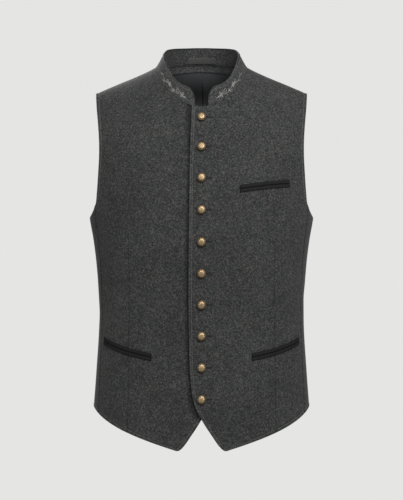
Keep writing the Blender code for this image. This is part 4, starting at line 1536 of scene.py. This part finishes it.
class VEST_OT_buttonholes(bpy.types.Operator):
    """Works the bound buttonholes that show beside the buttons"""

    bl_idname = "vest.buttonholes"
    bl_label = "Buttonholes"

    def execute(self, context):
        length = context.scene.vest_sizes.buttonhole
        parts, slit_shades = [], []
        for number in range(1, BUTTONS + 1):
            low, high = (np.array(corner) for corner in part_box(f"button_{number}"))
            height = (low[2] + high[2]) / 2
            place = np.linspace(0, 1, 46)
            along = place * length - 0.002
            for way in (1, -1):
                off = way * 0.00085 * np.sqrt(np.maximum(1 - (2 * place - 1) ** 12, 0.02))
                ends = np.stack([off * 0.35, off * 1.9], -1)
                x = np.repeat(along[:, None], 2, axis=1) + np.array([0, 0.0002])
                line, out = on_front(x, height + ends, 1, 0.00022)
                mids = (line[:, :1] + line[:, 1:]) / 2 + out[:, :1] * 0.00028
                path = np.concatenate([line[:, :1], mids, line[:, 1:]], axis=1)
                up = np.concatenate([out[:, :1], out[:, :1], out[:, 1:]], axis=1)
                parts.append(tubes(path, up, np.array([0.00022, 0.00026, 0.0002]), 1.0, 5))
            # A near-black tube of painted shade along each slit, where the cloth beneath lies in shade
            x = np.linspace(-0.002, length - 0.002, 12)
            line, out = on_front(x, np.full(x.shape, height), 1, 0.0001)
            slit_shades.append(tubes(line[None], out[None], 0.00035, 0.5, 6))
        points, faces = joined(parts)
        make_piece("buttonhole_stitching", points, faces, buttonhole_twist())
        points, faces = joined(slit_shades)
        make_piece("buttonhole_slits", points, faces, felted_trim())
        return {"FINISHED"}


# One side's embroidery, in millimetres along the collar from its end and up from its seam
VINE_START = 16.0
VINE_END = 104.0
VINE_MIDDLE = 13.6
VINE_WAVE = 34.0
# Scrolls: place, radius, turns, way they curl (up or down) and way they run
SCROLLS = (
    (36.0, 4.6, 1.15, 1, 1),
    (51.0, 4.2, 1.10, -1, -1),
    (69.0, 3.6, 1.05, 1, 1),
    (82.0, 3.0, 1.00, -1, -1),
)
BLOSSOMS = ((26.0, 5.2, 4), (60.0, 3.6, 5))  # place, petal length, petals
# Leaves: place, angle from the stem in degrees, length
LEAVES = ((18.5, 12, 4.0), (44.0, 38, 5.0), (45.5, -30, 4.6), (64.5, 34, 4.4), (75.5, -32, 4.2), (90.0, 30, 3.6), (95.0, -26, 3.2))


def vine_height(place, band):
    """Height of the stem: its middle plus a sine that dies away at both ends."""
    fade = blend(place, VINE_START, VINE_START + 8) * blend(place, VINE_END, VINE_END - 25)
    return VINE_MIDDLE + 0.15 * band * fade * np.sin(2 * math.pi * (place - VINE_START) / VINE_WAVE)


def slim(place):
    """Share of the thread's thickness, which thins out towards the shoulder."""
    return 0.45 + 0.55 * blend(np.asarray(place, float), VINE_END, VINE_END - 40)


class VEST_OT_embroidery(bpy.types.Operator):
    """Embroiders a leafy vine with small blossoms on both ends of the collar"""

    bl_idname = "vest.embroidery"
    bl_label = "Collar embroidery"

    def execute(self, context):
        band = context.scene.vest_sizes.vine_height * 1000
        outer, away, at = collar_face()
        up = runs(outer, 0)
        number = np.arange(len(at))
        for name, end in (("embroidery_right", -1), ("embroidery_left", 1)):
            parts = []

            def stroke(place, height, radius, squash=0.55, lift=0.12):
                """Adds one laid stitch along a line drawn in millimetres on the collar."""
                along = place / 1000 if end < 0 else at[-1] - place / 1000
                cell = np.interp(along, at, number)
                row = height / 1000 / np.interp(cell, number, up[-1]) * (len(outer) - 1)
                normal = unit(sample(away, row, cell))
                line = sample(outer, row, cell) + normal * lift / 1000
                parts.append(tubes(line[None], normal[None], radius[None] / 1000, squash, 7))

            def leaf(place, height, angle, length, width, thread=0.17):
                """Adds a pointed leaf of two laid lines, whose width is the sine of its length share."""
                share = np.linspace(0.0, 1.0, 11)
                bend = 0.12 * length * np.sin(math.pi * share)
                for way in (1, -1):
                    off = bend + way * width / 2 * np.sin(math.pi * share) ** 0.8
                    x = place + length * share * math.cos(angle) - off * math.sin(angle)
                    y = height + length * share * math.sin(angle) + off * math.cos(angle)
                    stroke(x, y, np.full(len(share), thread), 0.7)

            place = np.linspace(VINE_START, VINE_END, 150)
            twist = 1 + 0.14 * np.sin(2 * math.pi * place / 1.3)
            stroke(place, vine_height(place, band), 0.23 * twist * slim(place), 0.8)
            for spot, angle, length in LEAVES:
                thread = 0.20 * float(slim(spot))
                leaf(spot, vine_height(spot, band), math.radians(angle), length, 1.7, thread)
            for spot, length, petals in BLOSSOMS:
                centre = vine_height(spot, band)
                for petal in range(petals):
                    angle = 2 * math.pi * petal / petals + 0.35
                    leaf(spot + 0.7 * math.cos(angle), centre + 0.7 * math.sin(angle), angle, length, 2.0, 0.26)
                knot = np.linspace(-0.5, 0.5, 4)
                stroke(spot + knot, centre + 0 * knot, np.array([0.4, 0.7, 0.7, 0.4]), 0.9, 0.4)
            for spot, size, turns, way, run in SCROLLS:
                turn = np.linspace(0, 2 * math.pi * turns, 36)
                radius = size * (1 - 0.70 * turn / turn[-1])
                x = spot + run * radius * np.sin(turn)
                y = vine_height(spot, band) + way * (size - radius * np.cos(turn))
                stroke(x, y, 0.27 * float(slim(spot)) * (1 - 0.3 * turn / turn[-1]), 0.8)
            points, faces = joined(parts)
            make_piece(name, points, faces, embroidery_thread())
        return {"FINISHED"}


class VEST_OT_studio(bpy.types.Operator):
    """Sets up the pale floor, the soft lights and the camera"""

    bl_idname = "vest.studio"
    bl_label = "Studio"

    def execute(self, context):
        scene = context.scene
        scene.view_settings.view_transform = "Standard"
        camera_data = bpy.data.cameras.new("camera")
        camera_data.lens = LENS_MM
        camera_data.sensor_width = SENSOR_MM
        camera_data.clip_end = 200.0
        camera = bpy.data.objects.new("camera", camera_data)
        camera.location = (0.0, -CAMERA_DISTANCE, CAMERA_HEIGHT)
        camera.rotation_euler = (math.pi / 2, 0.0, 0.0)
        scene.collection.objects.link(camera)
        scene.camera = camera

        mesh = bpy.data.meshes.new("floor")
        reach = FLOOR_REACH
        corners = [(-reach, -reach), (reach, -reach), (reach, reach), (-reach, reach)]
        mesh.from_pydata([(x, y, FLOOR_HEIGHT) for x, y in corners], [], [(0, 1, 2, 3)])
        # Paper lit evenly from behind, so that no horizon shows
        paper, tree, shader = new_material("Pale paper floor")
        shader.inputs["Base Color"].default_value = (0, 0, 0, 1)
        shader.inputs["Roughness"].default_value = 1.0
        shader.inputs["Specular IOR Level"].default_value = 0.0
        shader.inputs["Emission Color"].default_value = (*linear("#e5e5e4"), 1)
        shader.inputs["Emission Strength"].default_value = 1.0
        mesh.materials.append(paper)
        floor = bpy.data.objects.new("floor", mesh)
        scene.collection.objects.link(floor)

        world = bpy.data.worlds.new("studio")
        world.use_nodes = True
        back = world.node_tree.nodes["Background"]
        back.inputs["Color"].default_value = (*linear("#e5e5e4"), 1)
        scene.world = world

        target = np.array((0.0, 0.0, -0.30))
        for name, place, size, power in (
            ("key_light", (0.42, -1.55, 0.74), 0.7, 47.0),
            ("fill_light", (-0.6, -2.5, 0.55), 1.0, 4.5),
            ("back_light", (-0.7, 1.4, 1.1), 0.6, 46.0),
        ):
            data = bpy.data.lights.new(name, "AREA")
            data.shape = "SQUARE"
            data.size = size
            data.energy = power
            light = bpy.data.objects.new(name, data)
            aim = unit(target - np.array(place))
            light.location = place
            light.rotation_euler = (
                math.acos(-aim[2]), 0.0, math.atan2(aim[0], -aim[1]) + math.pi
            )
            scene.collection.objects.link(light)
        return {"FINISHED"}


class VEST_PT_sidebar(bpy.types.Panel):
    """Lists the vest's sizes, colours and pieces in the sidebar"""

    bl_label = "Folk vest"
    bl_idname = "VEST_PT_sidebar"
    bl_space_type = "VIEW_3D"
    bl_region_type = "UI"
    bl_category = "Vest"

    def draw(self, context):
        for group in (context.scene.vest_sizes, context.scene.vest_colours):
            box = self.layout.box()
            for name in group.bl_rna.properties.keys():
                if name not in ("rna_type", "name"):
                    box.prop(group, name)
        for operator in OPERATORS:
            self.layout.operator(operator.bl_idname)


OPERATORS = (
    VEST_OT_studio,
    VEST_OT_fronts,
    VEST_OT_back,
    VEST_OT_collar,
    VEST_OT_pockets,
    VEST_OT_buttons,
    VEST_OT_stitching,
    VEST_OT_buttonholes,
    VEST_OT_embroidery,
)
CLASSES = (VestSizes, VestColours, *OPERATORS, VEST_PT_sidebar)


def register():
    for item in CLASSES:
        bpy.utils.register_class(item)
    bpy.types.Scene.vest_sizes = bpy.props.PointerProperty(type=VestSizes)
    bpy.types.Scene.vest_colours = bpy.props.PointerProperty(type=VestColours)


def unregister():
    del bpy.types.Scene.vest_colours
    del bpy.types.Scene.vest_sizes
    for item in reversed(CLASSES):
        bpy.utils.unregister_class(item)


def main():
    register()
    bpy.ops.vest.studio()
    bpy.ops.vest.fronts()
    bpy.ops.vest.back()
    bpy.ops.vest.collar()
    bpy.ops.vest.pockets()
    bpy.ops.vest.buttons()
    bpy.ops.vest.stitching()
    bpy.ops.vest.buttonholes()
    bpy.ops.vest.embroidery()


if __name__ == "__main__":
    main()
